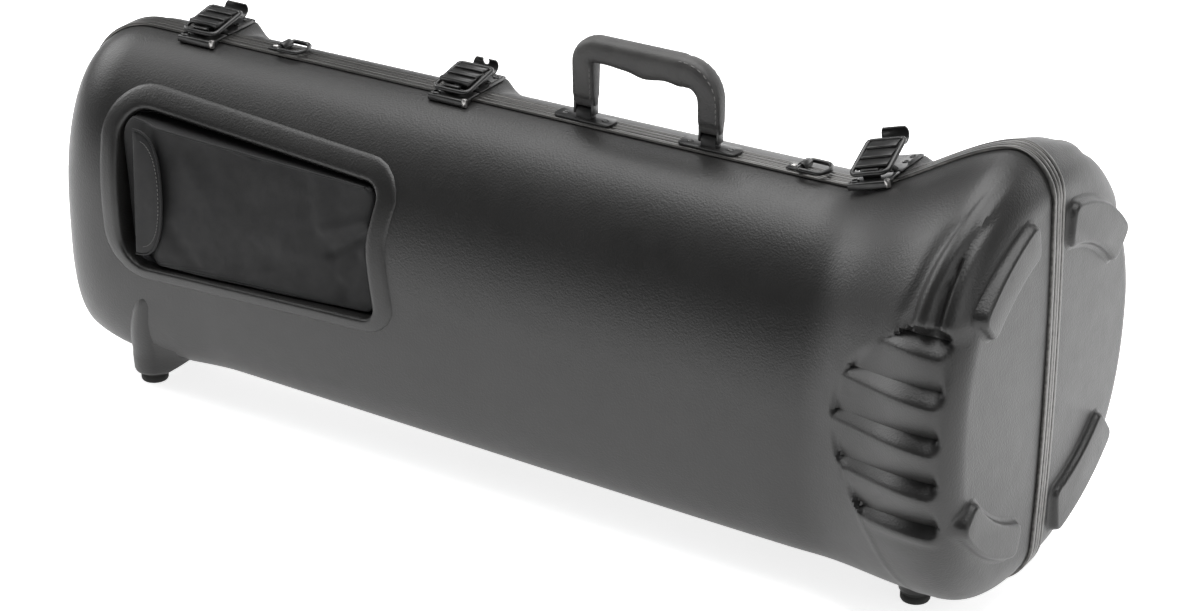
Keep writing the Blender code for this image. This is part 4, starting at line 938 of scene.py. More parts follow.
POCKET_CORNERS_MM = (
    (-384.0, 277.0, 27.0), (-104.0, 264.0, 12.0), (-111.0, 214.0, 60.0), (-100.0, 148.0, 11.0),
    (-374.0, 135.0, 26.0),
)
POCKET_LOW_BEAD_SHARE = 0.62
POCKET_FLOOR = 62.0 * MM
POCKET_STEP = 4.0 * MM
POCKET_HOLE_REACH = 9.0 * MM
POCKET_THICKNESS = 2.4 * MM
POCKET_BEAD_MM = (
    (21.6, -1.8), (21.0, -0.4), (20.2, 0.7), (18.8, 1.7), (16.6, 2.4), (13.4, 2.9), (10.2, 3.3),
    (6.8, 3.6), (4.2, 3.5), (2.3, 2.7), (1.0, 1.0), (0.3, -2.0),
)
POCKET_WALL_MM = ((0.0, 6.0), (-0.3, 12.0))
POCKET_FOOT_MM = ((-0.6, 6.0), (-1.4, 3.2), (-3.0, 1.2), (-5.5, 0.2), (-9.0, 0.0))


def pocket_outline():
    """The pocket's mouth seen from the front: large rounds on the left, a waisted right side."""
    outline = rounded_outline([(x * MM, z * MM, radius * MM) for x, z, radius in POCKET_CORNERS_MM])
    return evenly(clockwise(outline), POCKET_STEP)


POCKET = pocket_outline()
POCKET_OUT = outward(POCKET)


def pocket_ring(offset):
    """The mouth's outline moved outwards, less so below, where the bead is narrow."""
    ring = []
    for p, n in zip(POCKET, POCKET_OUT):
        share = mix(1.0, POCKET_LOW_BEAD_SHARE, max(-n.y, 0.0)) if offset > 0 else 1.0
        ring.append(p + n * offset * share)
    return ring


def make_pocket():
    """The rounded bead round the pocket's mouth, its wall and floor, in one moulding."""

    def bead(p, height):
        return Vector((p.x, -surface_depth(p.x, p.y), p.y)) + surface_normal(p.x, p.y) * height

    def wall(p, height):
        return Vector((p.x, -surface_depth(p.x, p.y) + height, p.y))

    def foot(p, height):
        return Vector((p.x, -POCKET_FLOOR - height, p.y))

    rings = []
    for place, profile in ((bead, POCKET_BEAD_MM), (wall, POCKET_WALL_MM), (foot, POCKET_FOOT_MM)):
        for offset, height in scaled(profile):
            rings.append([place(p, height) for p in pocket_ring(offset)])
    count = len(POCKET)
    points = [p for ring in rings for p in ring]
    faces = loft_faces(len(rings), count, caps=False)
    faces.append(tuple((len(rings) - 1) * count + k for k in range(count)))
    made = make_piece("pocket_moulding", points, faces, PLASTIC, smooth=60.0)
    if made.data.polygons[-1].normal.y > 0:
        made.data.flip_normals()
    return walled(made, POCKET_THICKNESS)


def make_leg(side, name):
    """A moulded leg: a leaning column that grows out of the skin, with a web to its right."""
    rings = []
    for z, x, depth, radius, end in LEG_LEVELS_MM:
        z, x, depth, radius, end = z * MM, x * MM, depth * MM, radius * MM, end * MM
        ring = [(x + radius * cos(turn), side * (depth + radius * sin(turn)), z)
                for turn in turns(LEG_ARC, LEG_ARC_STEPS)]
        skin = surface_depth(end, max(z, LEG_LOWEST_JOIN), side) - LEG_WEB_SUNK
        skin = max(min(skin, depth + radius / 2), depth - radius)
        ring.append((end, side * skin, z))
        ring.append((end, side * (skin - LEG_BURIED), z))
        ring.append((x, side * (depth - radius), z))
        rings.append(ring)
    return rounded(loft(name, rings, PLASTIC, smooth=50.0), LEG_EDGE, angle=50.0)


def make_shells():
    hole = [tuple(p) for p in pocket_ring(POCKET_HOLE_REACH)]
    front = make_skin(-1, "front_skin", hole)
    fit(front, "lid", "shell", "front_shell")
    rear = make_skin(1, "rear_skin")
    fit(rear, "rear_half", "shell", "rear_shell")
    fit(make_pocket(), "lid", "shell")
    fit(make_leg(-1, "front_leg"), "lid", "shell")
    fit(make_leg(1, "rear_leg"), "rear_half", "shell")


make_shells()


# Bumpers, bosses and feet

BUMPER_PROUD = 4.5 * MM
BUMPER_CORNER = 9.0 * MM
BUMPER_STEP = 3.0 * MM
BUMPER_SPECS = {
    "front_bumper_high": (-1, 1, 150.0 * MM, 172.0 * MM, 206.0 * MM, radians(13.0), radians(43.0)),
    "front_bumper_low": (-1, -1, 252.0 * MM, 168.0 * MM, 198.0 * MM, radians(15.0), radians(52.0)),
    "rear_bumper_high": (1, 1, 152.0 * MM, 152.0 * MM, 188.0 * MM, radians(7.0), radians(48.0)),
    "rear_bumper_low": (1, -1, 242.0 * MM, 158.0 * MM, 200.0 * MM, radians(8.0), radians(42.0)),
}
BUMPER_RINGS_MM = (
    (5.2, 0.0, -0.5), (4.0, 0.0, 0.0), (2.8, 0.02, 0.25), (1.7, 0.09, 0.3), (0.8, 0.24, 0.2),
    (0.1, 0.48, 0.0), (-0.5, 0.72, 0.0), (-1.3, 0.89, 0.0), (-2.4, 0.98, 0.0), (-3.6, 1.0, 0.0),
)
FOOT_ENDS = {"small_end": -381.0 * MM, "bell_end": 393.0 * MM}
FOOT_DEPTHS = {"front": -56.0 * MM, "rear": 56.0 * MM}
FOOT_PROFILE_MM = ((2.6, 2.6), (2.6, 0.7), (3.3, 0.0), (10.3, 0.0), (11.7, 0.6), (12.5, 2.1), (12.5, 6.4),
                   (12.0, 7.0), (12.0, 7.8), (12.5, 8.4), (12.4, 10.0))
BOSS_PROFILE_MM = ((13.2, 10.3), (14.0, 10.7), (14.3, 12.0), (14.6, 14.5), (15.6, 17.5), (17.8, 20.5),
                   (21.5, 24.0), (24.0, 30.0))


def make_bumper(name, side, up, centre, inner, outer, start, end):
    """An arched raised pad on the bell end, with moulded fillets at its foot."""
    middle = (inner + outer) / 2
    half_width = (outer - inner) / 2
    half_length = (end - start) / 2 * middle
    face = RIGHT_END + BELL_FACE_CROWN + BUMPER_PROUD
    rings = []
    for offset, share, lift in BUMPER_RINGS_MM:
        offset *= MM
        wide, long = half_width + offset, half_length + offset
        corner = BUMPER_CORNER + offset
        box = rounded_box(long, -wide, wide, corner, corner)
        if not rings:
            count = len(evenly(clockwise(box), BUMPER_STEP))
        length = sum((Vector(box[k]) - Vector(box[k - 1])).length for k in range(len(box)))
        ring = []
        for p in evenly(clockwise(box), length / count)[:count]:
            angle = (start + end) / 2 + p.x / middle
            radius = middle + p.y
            y = side * radius * sin(angle)
            z = centre + up * radius * cos(angle)
            skin = face_place(y, z, side) + lift * MM
            ring.append((mix(skin, face, share), y, z))
        rings.append(ring)
    return loft(name, rings, PLASTIC, smooth=70.0)


def make_feet():
    for (end, x), (half, y) in product(FOOT_ENDS.items(), FOOT_DEPTHS.items()):
        place = Matrix.Translation((x, y, 0.0))
        body = "lid" if y < 0 else "rear_half"
        sole = lathe(f"sole_{half}_{end}", FOOT_PROFILE_MM, RUBBER, count=28)
        fit(moved(sole, place), body, "feet", f"foot_{half}_{end}")
        if x > 0:
            boss = lathe(f"boss_{half}_{end}", BOSS_PROFILE_MM, PLASTIC, count=28)
            fit(moved(boss, place), body, "shell")


def make_bumpers():
    for name, spec in BUMPER_SPECS.items():
        fit(make_bumper(name, *spec), "lid" if spec[0] < 0 else "rear_half", "shell")


make_bumpers()
make_feet()


# Valance

VALANCE_STEP = 5.0 * MM
VALANCE_PROFILE_MM = (
    (2.0, 0.15), (2.35, 0.35), (2.5, 0.8), (2.5, 4.2), (2.3, 4.55), (1.5, 4.7), (1.5, 5.6), (2.3, 5.75),
    (2.5, 6.1), (2.5, 9.5), (2.25, 10.1), (1.7, 10.3), (0.3, 10.3), (0.3, 1.85), (-4.6, 1.85), (-4.6, 6.0),
    (-5.8, 6.0), (-5.8, 0.15),
)
VALANCE_END_STEPS = 60


def parting_line():
    """The closed line where the halves meet, seen from the side, clockwise from the small end's top."""
    places = skin_columns()
    top = [(x, section(x, 1)[1]) for x in places]
    low = [(x, section(x, 1)[2]) for x in reversed(places)]
    _, high, bottom, upper, lower = section(RIGHT_END, 1)
    end = []
    for k in range(1, VALANCE_END_STEPS):
        turn = pi * k / VALANCE_END_STEPS
        power = upper if turn < pi / 2 else lower
        height = mix(bottom, high, (1 + bent(cos(turn), power)) / 2)
        end.append((RIGHT_END + BELL_FACE_CROWN * sin(turn) ** 2, height))
    return evenly(top + end + low, VALANCE_STEP)


def make_valance(side, name, body, node):
    """The grooved channel that grips a shell's edge all round."""
    line = parting_line()
    rings = [[(p.x + n.x * out * MM, side * y * MM, p.y + n.y * out * MM) for out, y in VALANCE_PROFILE_MM]
             for p, n in zip(line, outward(line))]
    fit(loft(name, rings, VALANCE, closed=True, smooth=30.0), body, "valance", node)


make_valance(-1, "front_rail", "lid", "front_valance")
make_valance(1, "rear_rail", "rear_half", "rear_valance")


# Fasteners

RIVET_PROFILE_MM = ((2.5, -0.2), (2.5, 0.12), (2.2, 0.55), (1.5, 0.9), (0.6, 1.05))
SCREW_PROFILE_MM = ((3.1, -0.2), (3.1, 0.25), (2.8, 0.5), (2.1, 0.6), (1.5, 0.25), (0.9, 0.05), (0.3, 0.0))
STITCH_PROFILE_MM = ((0.12, -1.5), (0.34, -1.2), (0.42, 0.0), (0.34, 1.2), (0.12, 1.5))
UP = Vector((0.0, 0.0, 1.0))
ALONG = Vector((1.0, 0.0, 0.0))
FRONT = Vector((0.0, -1.0, 0.0))


def pattern(name, profile_mm, material, count, turn=None):
    """A small shape for set_on, which is removed once all the copies are made."""
    made = lathe(name, profile_mm, material, count)
    if turn:
        moved(made, turn)
    made.hide_render = True
    return made


RIVET = pattern("rivet_shape", RIVET_PROFILE_MM, STEEL, count=14)
SCREW = pattern("screw_shape", SCREW_PROFILE_MM, STEEL, count=14)
STITCH = pattern("stitch_shape", STITCH_PROFILE_MM, THREAD, count=6, turn=Matrix.Rotation(pi / 2, 4, "Y"))


def cad_copy(node, name, material, flat_angle=0.0):
    """A copy of a CAD node under a new name and in one material, with its doubled points joined."""
    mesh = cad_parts[node].data.copy()
    mesh.name = name
    clean(mesh, flat_angle)
    mesh.materials.clear()
    mesh.materials.append(material)
    return new_object(name, mesh)


def dress(node, name, width, body):
    """A deburred steel copy of a CAD node: its flat faces made whole and its edges rounded."""
    made = rounded(cad_copy(node, name, STEEL, FLAT_ANGLE), width)
    return fit(made, body, "hardware", node)


# Draw latches, each built round its own frame

PLATE = 1.6 * MM
PIN_BACK = -5.0 * MM
PIN_HEIGHT = 9.0 * MM
PIN_PROFILE_MM = ((0.7, -14.7), (1.9, -14.3), (2.3, -13.6), (1.5, -13.2), (1.5, 13.2), (2.3, 13.6),
                  (1.9, 14.3), (0.7, 14.7))
KEEPER_PROFILE_MM = ((-1.2, 0.0), (-1.2, 1.6), (-22.6, 1.6), (-23.5, 1.3), (-24.0, 0.5), (-24.1, -0.6),
                     (-24.1, -4.4), (-22.5, -4.4), (-22.5, 0.0))
KEEPER_CHEEK_MM = ((-24.0, 0.6), (-24.0, -4.4), (-19.0, -4.4), (-13.4, -1.6), (-13.4, 0.6))
KEEPER_CHEEK = 1.4 * MM
HOOK_PROFILE_MM = ((-13.1, 0.8), (-13.1, 8.9), (-13.5, 9.7), (-14.4, 10.0), (-16.6, 10.0), (-17.4, 9.6),
                   (-17.2, 8.7), (-15.4, 8.4), (-14.7, 8.0), (-14.7, 0.8))
HOOK_HALF_WIDTH = 8.0 * MM
KEEPER_EYE = (-13.2 * MM, -19.0 * MM)
KEEPER_KNUCKLE = (17.4 * MM, -22.4 * MM)
KNUCKLE_PROFILE_MM = ((0.6, -4.6), (2.0, -4.4), (2.5, -3.6), (2.5, 1.8), (2.0, 2.8), (0.6, 3.1))
EYE_PROFILE_MM = ((1.9, -0.4), (1.9, 1.0), (2.6, 1.5), (3.6, 1.3), (4.2, 0.6), (4.3, -0.4))
BASE_START = 1.2 * MM
BASE_END = 44.0 * MM
BASE_CORNER = 3.5 * MM
BASE_RIVETS_MM = ((-11.0, 24.0), (11.0, 24.0), (-11.0, 37.5), (11.0, 37.5))
BASE_FLANGE = 3.6 * MM
BASE_FLANGE_START = 13.0 * MM
EAR_INSIDE = 11.6 * MM
EAR_OUTSIDE = 13.1 * MM
EAR_RADIUS = 3.0 * MM
EAR_ANGLES = (240.0, 30.0)
EAR_STEPS = 12
EAR_FOOT = 9.0 * MM
LEVER_HALF_WIDTH = 14.6 * MM
LEVER_FRONT = -11.4 * MM
LEVER_HEIGHT = 14.0 * MM
LEVER_STEP = 12.4 * MM
LEVER_RISE = 0.9 * MM
LEVER_SLOPE = -1.3 * MM
LEVER_DEPTH = 4.4 * MM
LEVER_LAP = 1.2 * MM
LEVER_STEPS = 3
LEVER_CHEEK_INSIDE = 9.6 * MM
LEVER_CHEEK_OUTSIDE = 11.1 * MM
LEVER_CHEEK_MM = ((-10.4, 12.4), (-10.4, 9.4), (-7.2, 5.6), (-4.4, 5.2), (20.0, 6.6), (25.4, 8.4),
                  (27.0, 11.0), (27.0, 14.0))
TAB_HALF_WIDTH = 11.6 * MM
TAB_RADIUS = 9.0 * MM
TAB_SHEET = 1.7 * MM
TAB_ANGLES = (-172.0, 14.0)
TAB_STEPS = 14
TAB_FLARE = 1.4 * MM
TAB_LIP_START_SHARE = 0.75
TAB_EYE_MM = ((3.2, -22.5), (3.2, 4.5))
LINK_PIVOT = (24.0 * MM, 14.0 * MM)
LINK_BAR = (-17.8 * MM, 6.0 * MM)
LINK_RADIUS = 2.0 * MM
LINK_HALF_WIDTH = 16.8 * MM
LINK_CORNER = 6.0 * MM
LINK_TURN_SHARE = 0.6
EDGE_ROUND = 0.45 * MM


def plate(name, outline, low, high, edge=EDGE_ROUND, upright=False):
    """A steel plate with rounded edges: an outline of (y, z) pairs along X, or of (x, y) pairs along Z."""
    rings = [[(a, b, c) if upright else (c, a, b) for a, b in outline] for c in (low, high)]
    return rounded(loft(name, rings, STEEL), edge)


def plates(name, outline, inner, outer, edge=EDGE_ROUND):
    """The same plate on both sides of a latch."""
    return [plate(name, outline, *sorted((side * inner, side * outer)), edge) for side in (-1, 1)]


def turned_pair(pair, angle):
    return Vector((pair.x * cos(angle) - pair.y * sin(angle), pair.x * sin(angle) + pair.y * cos(angle)))


def make_keeper(number, frame_matrix):
    """The front plate with its folded edge and cheeks, the hook, an eye and a bright knuckle."""
    half = LATCH_HALF_WIDTH
    parts = [plate("keeper_plate", scaled(KEEPER_PROFILE_MM), -half, half)]
    parts += plates("keeper_cheek", scaled(KEEPER_CHEEK_MM), half, half - KEEPER_CHEEK)
    parts.append(plate("keeper_hook", scaled(HOOK_PROFILE_MM), -HOOK_HALF_WIDTH, HOOK_HALF_WIDTH))
    eye = lathe("keeper_eye", EYE_PROFILE_MM, STEEL, count=22)
    parts.append(moved(eye, Matrix.Translation((*KEEPER_EYE, PLATE))))
    knuckle = lathe("keeper_knuckle", KNUCKLE_PROFILE_MM, BRIGHT, count=18)
    parts.append(moved(knuckle, Matrix.Translation((*KEEPER_KNUCKLE, 0.0))))
    made = moved(merge(f"keeper_{number}", parts), frame_matrix)
    fit(made, "lid", "hardware", f"latch_{number}_keeper")


def make_base(number, frame_matrix):
    """The rear plate with its turned-up edges, the ears, the screws and the pin."""
    half = LATCH_HALF_WIDTH
    outline = rounded_box(half, BASE_START, BASE_END, PLATE, BASE_CORNER)
    parts = [plate("base_plate", outline, 0.0, PLATE, upright=True)]
    profile = [(EAR_FOOT, PLATE / 2), (BASE_START, PLATE / 2), (BASE_START, PLATE)]
    profile += [(PIN_BACK + EAR_RADIUS * cos(turn), PIN_HEIGHT + EAR_RADIUS * sin(turn))
                for turn in turns(EAR_ANGLES, EAR_STEPS)]
    first, last, tall = BASE_FLANGE_START, BASE_END - BASE_CORNER, BASE_FLANGE
    flange = [(first, PLATE / 2), (last, PLATE / 2), (last - tall, tall), (first + tall, tall)]
    parts += plates("ear", profile, EAR_INSIDE, EAR_OUTSIDE)
    parts += plates("base_flange", flange, half, half - KEEPER_CHEEK)
    spots = [((x * MM, y * MM, PLATE), ALONG, UP) for x, y in BASE_RIVETS_MM]
    parts.append(set_on("base_rivets", SCREW, spots, STEEL))
    pin = moved(lathe(f"pin_{number}", PIN_PROFILE_MM, STEEL, count=16), Matrix.Rotation(pi / 2, 4, "Y"))
    moved(pin, frame_matrix @ Matrix.Translation((0.0, PIN_BACK, PIN_HEIGHT)))
    fit(pin, "rear_half", "hardware", f"latch_{number}_pin")
    made = moved(merge(f"base_{number}", parts), frame_matrix)
    fit(made, "rear_half", "hardware", f"latch_{number}_base")


def lever_step(k):
    """One stepped plate of the lever's cover, with its walls."""
    start = LEVER_FRONT + LEVER_STEP * k - (LEVER_LAP if k else 0.0)
    end = LEVER_FRONT + LEVER_STEP * (k + 1)
    top = LEVER_HEIGHT + LEVER_RISE * k
    half = LEVER_HALF_WIDTH - k * EDGE_ROUND
    profile = [(start, top - LEVER_DEPTH), (start, top - PLATE / 2), (start + PLATE / 2, top),
               (end, top + LEVER_SLOPE), (end, top + LEVER_SLOPE - LEVER_DEPTH)]
    return plate("lever_step", profile, -half, half)


def lever_tab(with_eye):
    """The finger tab: a sheet that curls up behind the cover and widens to its lip."""
    centre = Vector((0.0, LEVER_FRONT + LEVER_STEP * LEVER_STEPS + TAB_RADIUS - 2 * TAB_SHEET, LEVER_HEIGHT))
    inner = TAB_RADIUS - TAB_SHEET
    rings = []
    for k in range(TAB_STEPS + 1):
        share = k / TAB_STEPS
        angle = radians(mix(*TAB_ANGLES, share))
        lip = max(share - TAB_LIP_START_SHARE, 0.0) / (1 - TAB_LIP_START_SHARE)
        half = TAB_HALF_WIDTH + TAB_FLARE * share - 2 * TAB_FLARE * lip ** 2
        out = Vector((0.0, cos(angle), sin(angle)))
        rings.append([centre + out * reach + ALONG * side * half
                      for side, reach in ((-1, TAB_RADIUS), (1, TAB_RADIUS), (1, inner), (-1, inner))])
    made = rounded(loft("lever_tab", rings, STEEL), EDGE_ROUND)
    if with_eye:
        tool = lathe("tab_eye", TAB_EYE_MM, STEEL, count=24)
        tool.data.shade_flat()
        moved(tool, Matrix.Translation(centre) @ Matrix.Rotation(pi / 2, 4, "X"))
        settle(modify(made, "BOOLEAN", object=tool, solver="EXACT"))
        bpy.data.objects.remove(tool)
    return made


def make_lever(number, matrix, with_eye):
    parts = [lever_step(k) for k in range(LEVER_STEPS)]
    cheek = scaled(LEVER_CHEEK_MM)
    parts += plates("lever_cheek", cheek, LEVER_CHEEK_INSIDE, LEVER_CHEEK_OUTSIDE, EDGE_ROUND / 2)
    parts.append(lever_tab(with_eye))
    made = moved(merge(f"lever_{number}_cover", parts), matrix)
    fit(made, f"lever_{number}", "hardware", f"latch_{number}_lever")


def make_link(number, lift, frame_matrix):
    """The closed loop of round bar that draws the hook."""
    pin = Vector((PIN_BACK, PIN_HEIGHT))
    pivot, hook = Vector(LINK_PIVOT), Vector(LINK_BAR)
    back = pin + turned_pair(pivot - pin, lift)
    front = back + turned_pair(hook - pivot, lift * LINK_TURN_SHARE)
    length = (front - back).length
    outline = rounded_box(LINK_HALF_WIDTH, 0.0, length, LINK_CORNER / 2, LINK_CORNER, turn_step=10.0)
    way = (front - back).normalized()
    points = [Vector((a, back.x + way.x * b, back.y + way.y * b)) for a, b in evenly(outline, LINK_RADIUS)]
    made = bar(f"link_{number}_loop", points, LINK_RADIUS, STEEL, closed=True)
    fit(moved(made, frame_matrix), f"link_{number}", "hardware", f"latch_{number}_link")


def make_latches():
    for number, (matrix, lift) in enumerate(zip(LATCH_FRAMES, LATCH_LIFTS), 1):
        make_keeper(number, matrix)
        make_base(number, matrix)
        pin = Matrix.Translation((0.0, PIN_BACK, PIN_HEIGHT))
        turned = matrix @ pin @ Matrix.Rotation(lift, 4, "X") @ pin.inverted()
        make_lever(number, turned, number == 2)
        make_link(number, lift, matrix)


make_latches()


# Carrying handle

HANDLE_CENTRE = 104.0 * MM
HANDLE_PIN_HEIGHT = 334.7 * MM
HANDLE_HALF_SPAN = 59.5 * MM
HANDLE_LEG_START = 5.4 * MM
HANDLE_TOP_LIFT = 57.0 * MM
HANDLE_CORNERS = (13.0 * MM, 24.0 * MM)
HANDLE_LEG_WIDTH = 10.5 * MM
HANDLE_LEG_THICKNESS = 6.6 * MM
HANDLE_FOOT_THICKNESS = 4.7 * MM
HANDLE_FOOT_LENGTH = 5.0 * MM
HANDLE_FOOT_FADE = 6.0 * MM
HANDLE_BARE = 11.0 * MM
HANDLE_GRIP_WIDTH = 10.5 * MM
HANDLE_GRIP_THICKNESS = 10.5 * MM
HANDLE_SWELL = 4.4 * MM
HANDLE_SWELL_START = -38.0 * MM
HANDLE_SWELL_LENGTH = 36.0 * MM
HANDLE_FINGER_WAVE = 1.2 * MM
HANDLE_FINGER_PITCH = 37.0 * MM
HANDLE_LEG_POWER_SHARE = 5.0
HANDLE_WRAP = 0.7 * MM
HANDLE_STEP = 2.5 * MM
HANDLE_SIDES = 28
HANDLE_POWER_SHARE = 2.7
HANDLE_SEAM = 35.0 * MM
HANDLE_SEAM_WIDTH = 1.3 * MM
HANDLE_SEAM_DEPTH = 0.9 * MM
HANDLE_END_ROUND = 2.5 * MM
HANDLE_ARC = (0.0, 90.0)
HANDLE_ARC_STEPS = 12
HANDLE_FULL_POWER = 4
STITCH_STEP = 4.2 * MM
STITCH_INSET_SHARE = 0.74
STITCH_CLIMB_SHARE = 0.86
STITCH_LEAN = 2.0
GRIP_STITCH_SCALE = 1.35
BRACKET_SCREWS = (-79.5 * MM, -40.5 * MM, 40.5 * MM, 78.5 * MM)
BRACKET_TOP = 329.1 * MM


def handle_path():
    """Centre line of the grip as (x, z) from the left leg's foot to the right's, evenly spaced."""
    half, low, top = HANDLE_HALF_SPAN, HANDLE_LEG_START, HANDLE_TOP_LIFT
    points = [Vector((-half, low))]
    for side, corner in zip((-1, 1), HANDLE_CORNERS):
        arc = [Vector((side * (half - corner * (1 - cos(turn))), top - corner * (1 - sin(turn))))
               for turn in turns(HANDLE_ARC, HANDLE_ARC_STEPS)]
        points += arc if side < 0 else arc[::-1]
    points.append(Vector((half, low)))
    return evenly(points, HANDLE_STEP, closed=False)


def grip_frame(path, k):
    """A place on the grip's centre line: its outward way, how high it has climbed, and its half sizes."""
    p = path[k]
    along = (path[min(k + 1, len(path) - 1)] - path[max(k - 1, 0)]).normalized()
    out = Vector((-along.y, along.x))
    climb = ease((p.y - HANDLE_LEG_START) / (HANDLE_TOP_LIFT - HANDLE_LEG_START))
    width = mix(HANDLE_LEG_WIDTH, HANDLE_GRIP_WIDTH, climb)
    thick = mix(HANDLE_LEG_THICKNESS, HANDLE_GRIP_THICKNESS, climb)
    foot = (p.y - HANDLE_LEG_START - HANDLE_FOOT_LENGTH) / HANDLE_FOOT_FADE
    thick = mix(HANDLE_FOOT_THICKNESS, thick, ease(foot))
    return p, along, out, climb, width, thick


def make_grip():
    path = handle_path()
    rings = []
    last = len(path) - 1
    for k in range(len(path)):
        p, _, out, climb, width, thick = grip_frame(path, k)
        full = climb ** HANDLE_FULL_POWER
        swell = ease((p.x - HANDLE_SWELL_START) / HANDLE_SWELL_LENGTH) * full
        wave = swell * (HANDLE_SWELL + HANDLE_FINGER_WAVE * cos(2 * pi * p.x / HANDLE_FINGER_PITCH))
        power = mix(HANDLE_LEG_POWER_SHARE, HANDLE_POWER_SHARE, climb)
        wrap = HANDLE_WRAP * full if p.x < HANDLE_SEAM else 0.0
        seam = exp(-((p.x - HANDLE_SEAM) / HANDLE_SEAM_WIDTH) ** 2) * full * HANDLE_SEAM_DEPTH
        end = min(k, last - k) * HANDLE_STEP
        tuck = shrink(HANDLE_END_ROUND - end, HANDLE_END_ROUND) / 2
        out_of_core = wrap - seam - tuck
        ring = []
        for n in range(HANDLE_SIDES):
            angle = 2 * pi * n / HANDLE_SIDES
            a, b = bent(cos(angle), power), bent(sin(angle), power)
            reach = (width + out_of_core) * a + min(a, 0.0) * wave
            ring.append((p.x + out.x * reach, (thick + out_of_core) * b, p.y + out.y * reach))
        rings.append(ring)
    grip = loft("handle_leather", rings, LEATHER, smooth=60.0)
    moved(grip, Matrix.Translation((HANDLE_CENTRE, 0.0, HANDLE_PIN_HEIGHT)))
    fit(grip, "handle", "handle", "handle_grip")


def make_grip_stitches():
    """Rows of stitches along both edges of each leg, front and back."""
    path = handle_path()
    step = max(1, round(STITCH_STEP / HANDLE_STEP))
    spots = []
    origin = Vector((HANDLE_CENTRE, 0.0, HANDLE_PIN_HEIGHT))
    bare = round(HANDLE_BARE / HANDLE_STEP)
    for k in range(bare, len(path) - bare, step):
        p, along, out, climb, width, thick = grip_frame(path, k)
        edges = (-1, 1) if climb < STITCH_CLIMB_SHARE else (1,)
        power = mix(HANDLE_LEG_POWER_SHARE, HANDLE_POWER_SHARE, climb)
        fall = (1 - STITCH_INSET_SHARE ** power) ** (1 / power)
        for edge, side in product(edges, (-1, 1)):
            flat = p + out * edge * width * STITCH_INSET_SHARE
            place = origin + Vector((flat.x, side * thick * fall, flat.y))
            facing = Vector((out.x * edge, STITCH_LEAN * side, out.y * edge))
            spots.append((place, Vector((along.x, 0.0, along.y)), facing))
    fit(set_on("handle_stitches", STITCH, spots, THREAD, GRIP_STITCH_SCALE), "handle", "handle")


def make_handle():
    make_grip()
    make_grip_stitches()
    for word in ("left", "right"):
        dress(f"handle_bracket_{word}", f"bracket_{word}", EDGE_ROUND, "rear_half")
        dress(f"handle_stirrup_{word}", f"stirrup_{word}", EDGE_ROUND, "handle")
    spots = [((HANDLE_CENTRE + x, 0.0, BRACKET_TOP), ALONG, UP) for x in BRACKET_SCREWS]
    fit(set_on("bracket_screws", SCREW, spots, STEEL), "rear_half", "hardware")


make_handle()


# Strap rings and hinges

RING_PLACES = {"left": -262.0 * MM, "right": 250.5 * MM}
RING_HEIGHT = 331.1 * MM
RING_WIRE = 2.0 * MM
RING_HALF_WIDTH = 12.0 * MM
RING_REACH = 24.0 * MM
CLIP_RIVET_BACK = 10.0 * MM
CLIP_TOP = 328.6 * MM
CLIP_RIVET_SCALE = 1.1


def make_rings():
    half, wire, reach = RING_HALF_WIDTH, RING_WIRE, RING_REACH
    outline = rounded_outline([(0.0, -half, wire), (reach - half / 2, -half, half / 2), (reach, 0.0, half),
                               (reach - half / 2, half, half / 2), (0.0, half, wire)], turn_step=8.0)
    for word, x in RING_PLACES.items():
        points = [Vector((x + a, b, RING_HEIGHT)) for a, b in evenly(outline, wire)]
        made = bar(f"ring_{word}_loop", points, wire, STEEL, closed=True)
        fit(made, f"ring_{word}", "hardware", f"strap_ring_{word}")
        dress(f"ring_clip_{word}", f"clip_{word}", EDGE_ROUND, "rear_half")
        spots = [((x - CLIP_RIVET_BACK, 0.0, CLIP_TOP), ALONG, UP)]
        fit(set_on(f"clip_rivet_{word}", RIVET, spots, BRIGHT, CLIP_RIVET_SCALE), "rear_half", "hardware")


def make_hinges():
    for number in (1, 2, 3):
        for word, body in (("front", "lid"), ("rear", "rear_half")):
            dress(f"hinge_{number}_leaf_{word}", f"hinge_{number}_{word}", EDGE_ROUND / 2, body)
        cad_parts[f"hinge_{number}_pin"].material_slots[0].material = BRIGHT


make_rings()
make_hinges()


# Pouch in the pocket

POUCH_ROOM = 1.6 * MM
POUCH_TOP = 261.0 * MM
POUCH_LEFT_LIFT = 9.0 * MM
POUCH_LEFT_DEPTH = 24.0 * MM
POUCH_LEFT_END = -356.0 * MM
POUCH_LEFT_RISE = 22.0 * MM
POUCH_BACK = 62.3 * MM
POUCH_DEPTH = 30.0 * MM
POUCH_LOW_DEPTH = 37.0 * MM
POUCH_EDGE = 5.0 * MM
POUCH_CROWN = 2.2 * MM
POUCH_ROWS = 54
POUCH_COLUMNS = 110
POUCH_MARGIN = 0.4 * MM
POUCH_SIDE_SHARE = 0.84
POUCH_WRINKLE = 1.1 * MM
POUCH_WRINKLE_SCALE = 38.0
POUCH_FOLDS_MM = (
    (-110.0, 224.0, -150.0, 196.0, 6.0, -2.6), (-112.0, 232.0, -158.0, 214.0, 5.0, 1.6),
    (-112.0, 206.0, -136.0, 176.0, 6.0, 2.0), (-124.0, 196.0, -138.0, 158.0, 7.0, -2.2),
    (-178.0, 252.0, -172.0, 214.0, 9.0, -1.4), (-250.0, 158.0, -214.0, 176.0, 12.0, -1.2),
    (-300.0, 240.0, -276.0, 206.0, 12.0, 1.2), (-322.0, 176.0, -296.0, 150.0, 9.0, -1.6),
)
PIPING_RADIUS = 1.1 * MM
PIPING_BARE_COLUMNS = 2
FLAP_LEFT = -360.0 * MM
FLAP_WIDTH = 33.0 * MM
FLAP_LOW = 147.0 * MM
FLAP_HIGH = 264.0 * MM
FLAP_FRONT = 97.0 * MM
FLAP_LEAN = 2.0 * MM
FLAP_BULGE = 4.6 * MM
FLAP_POWER_SHARE = 0.75
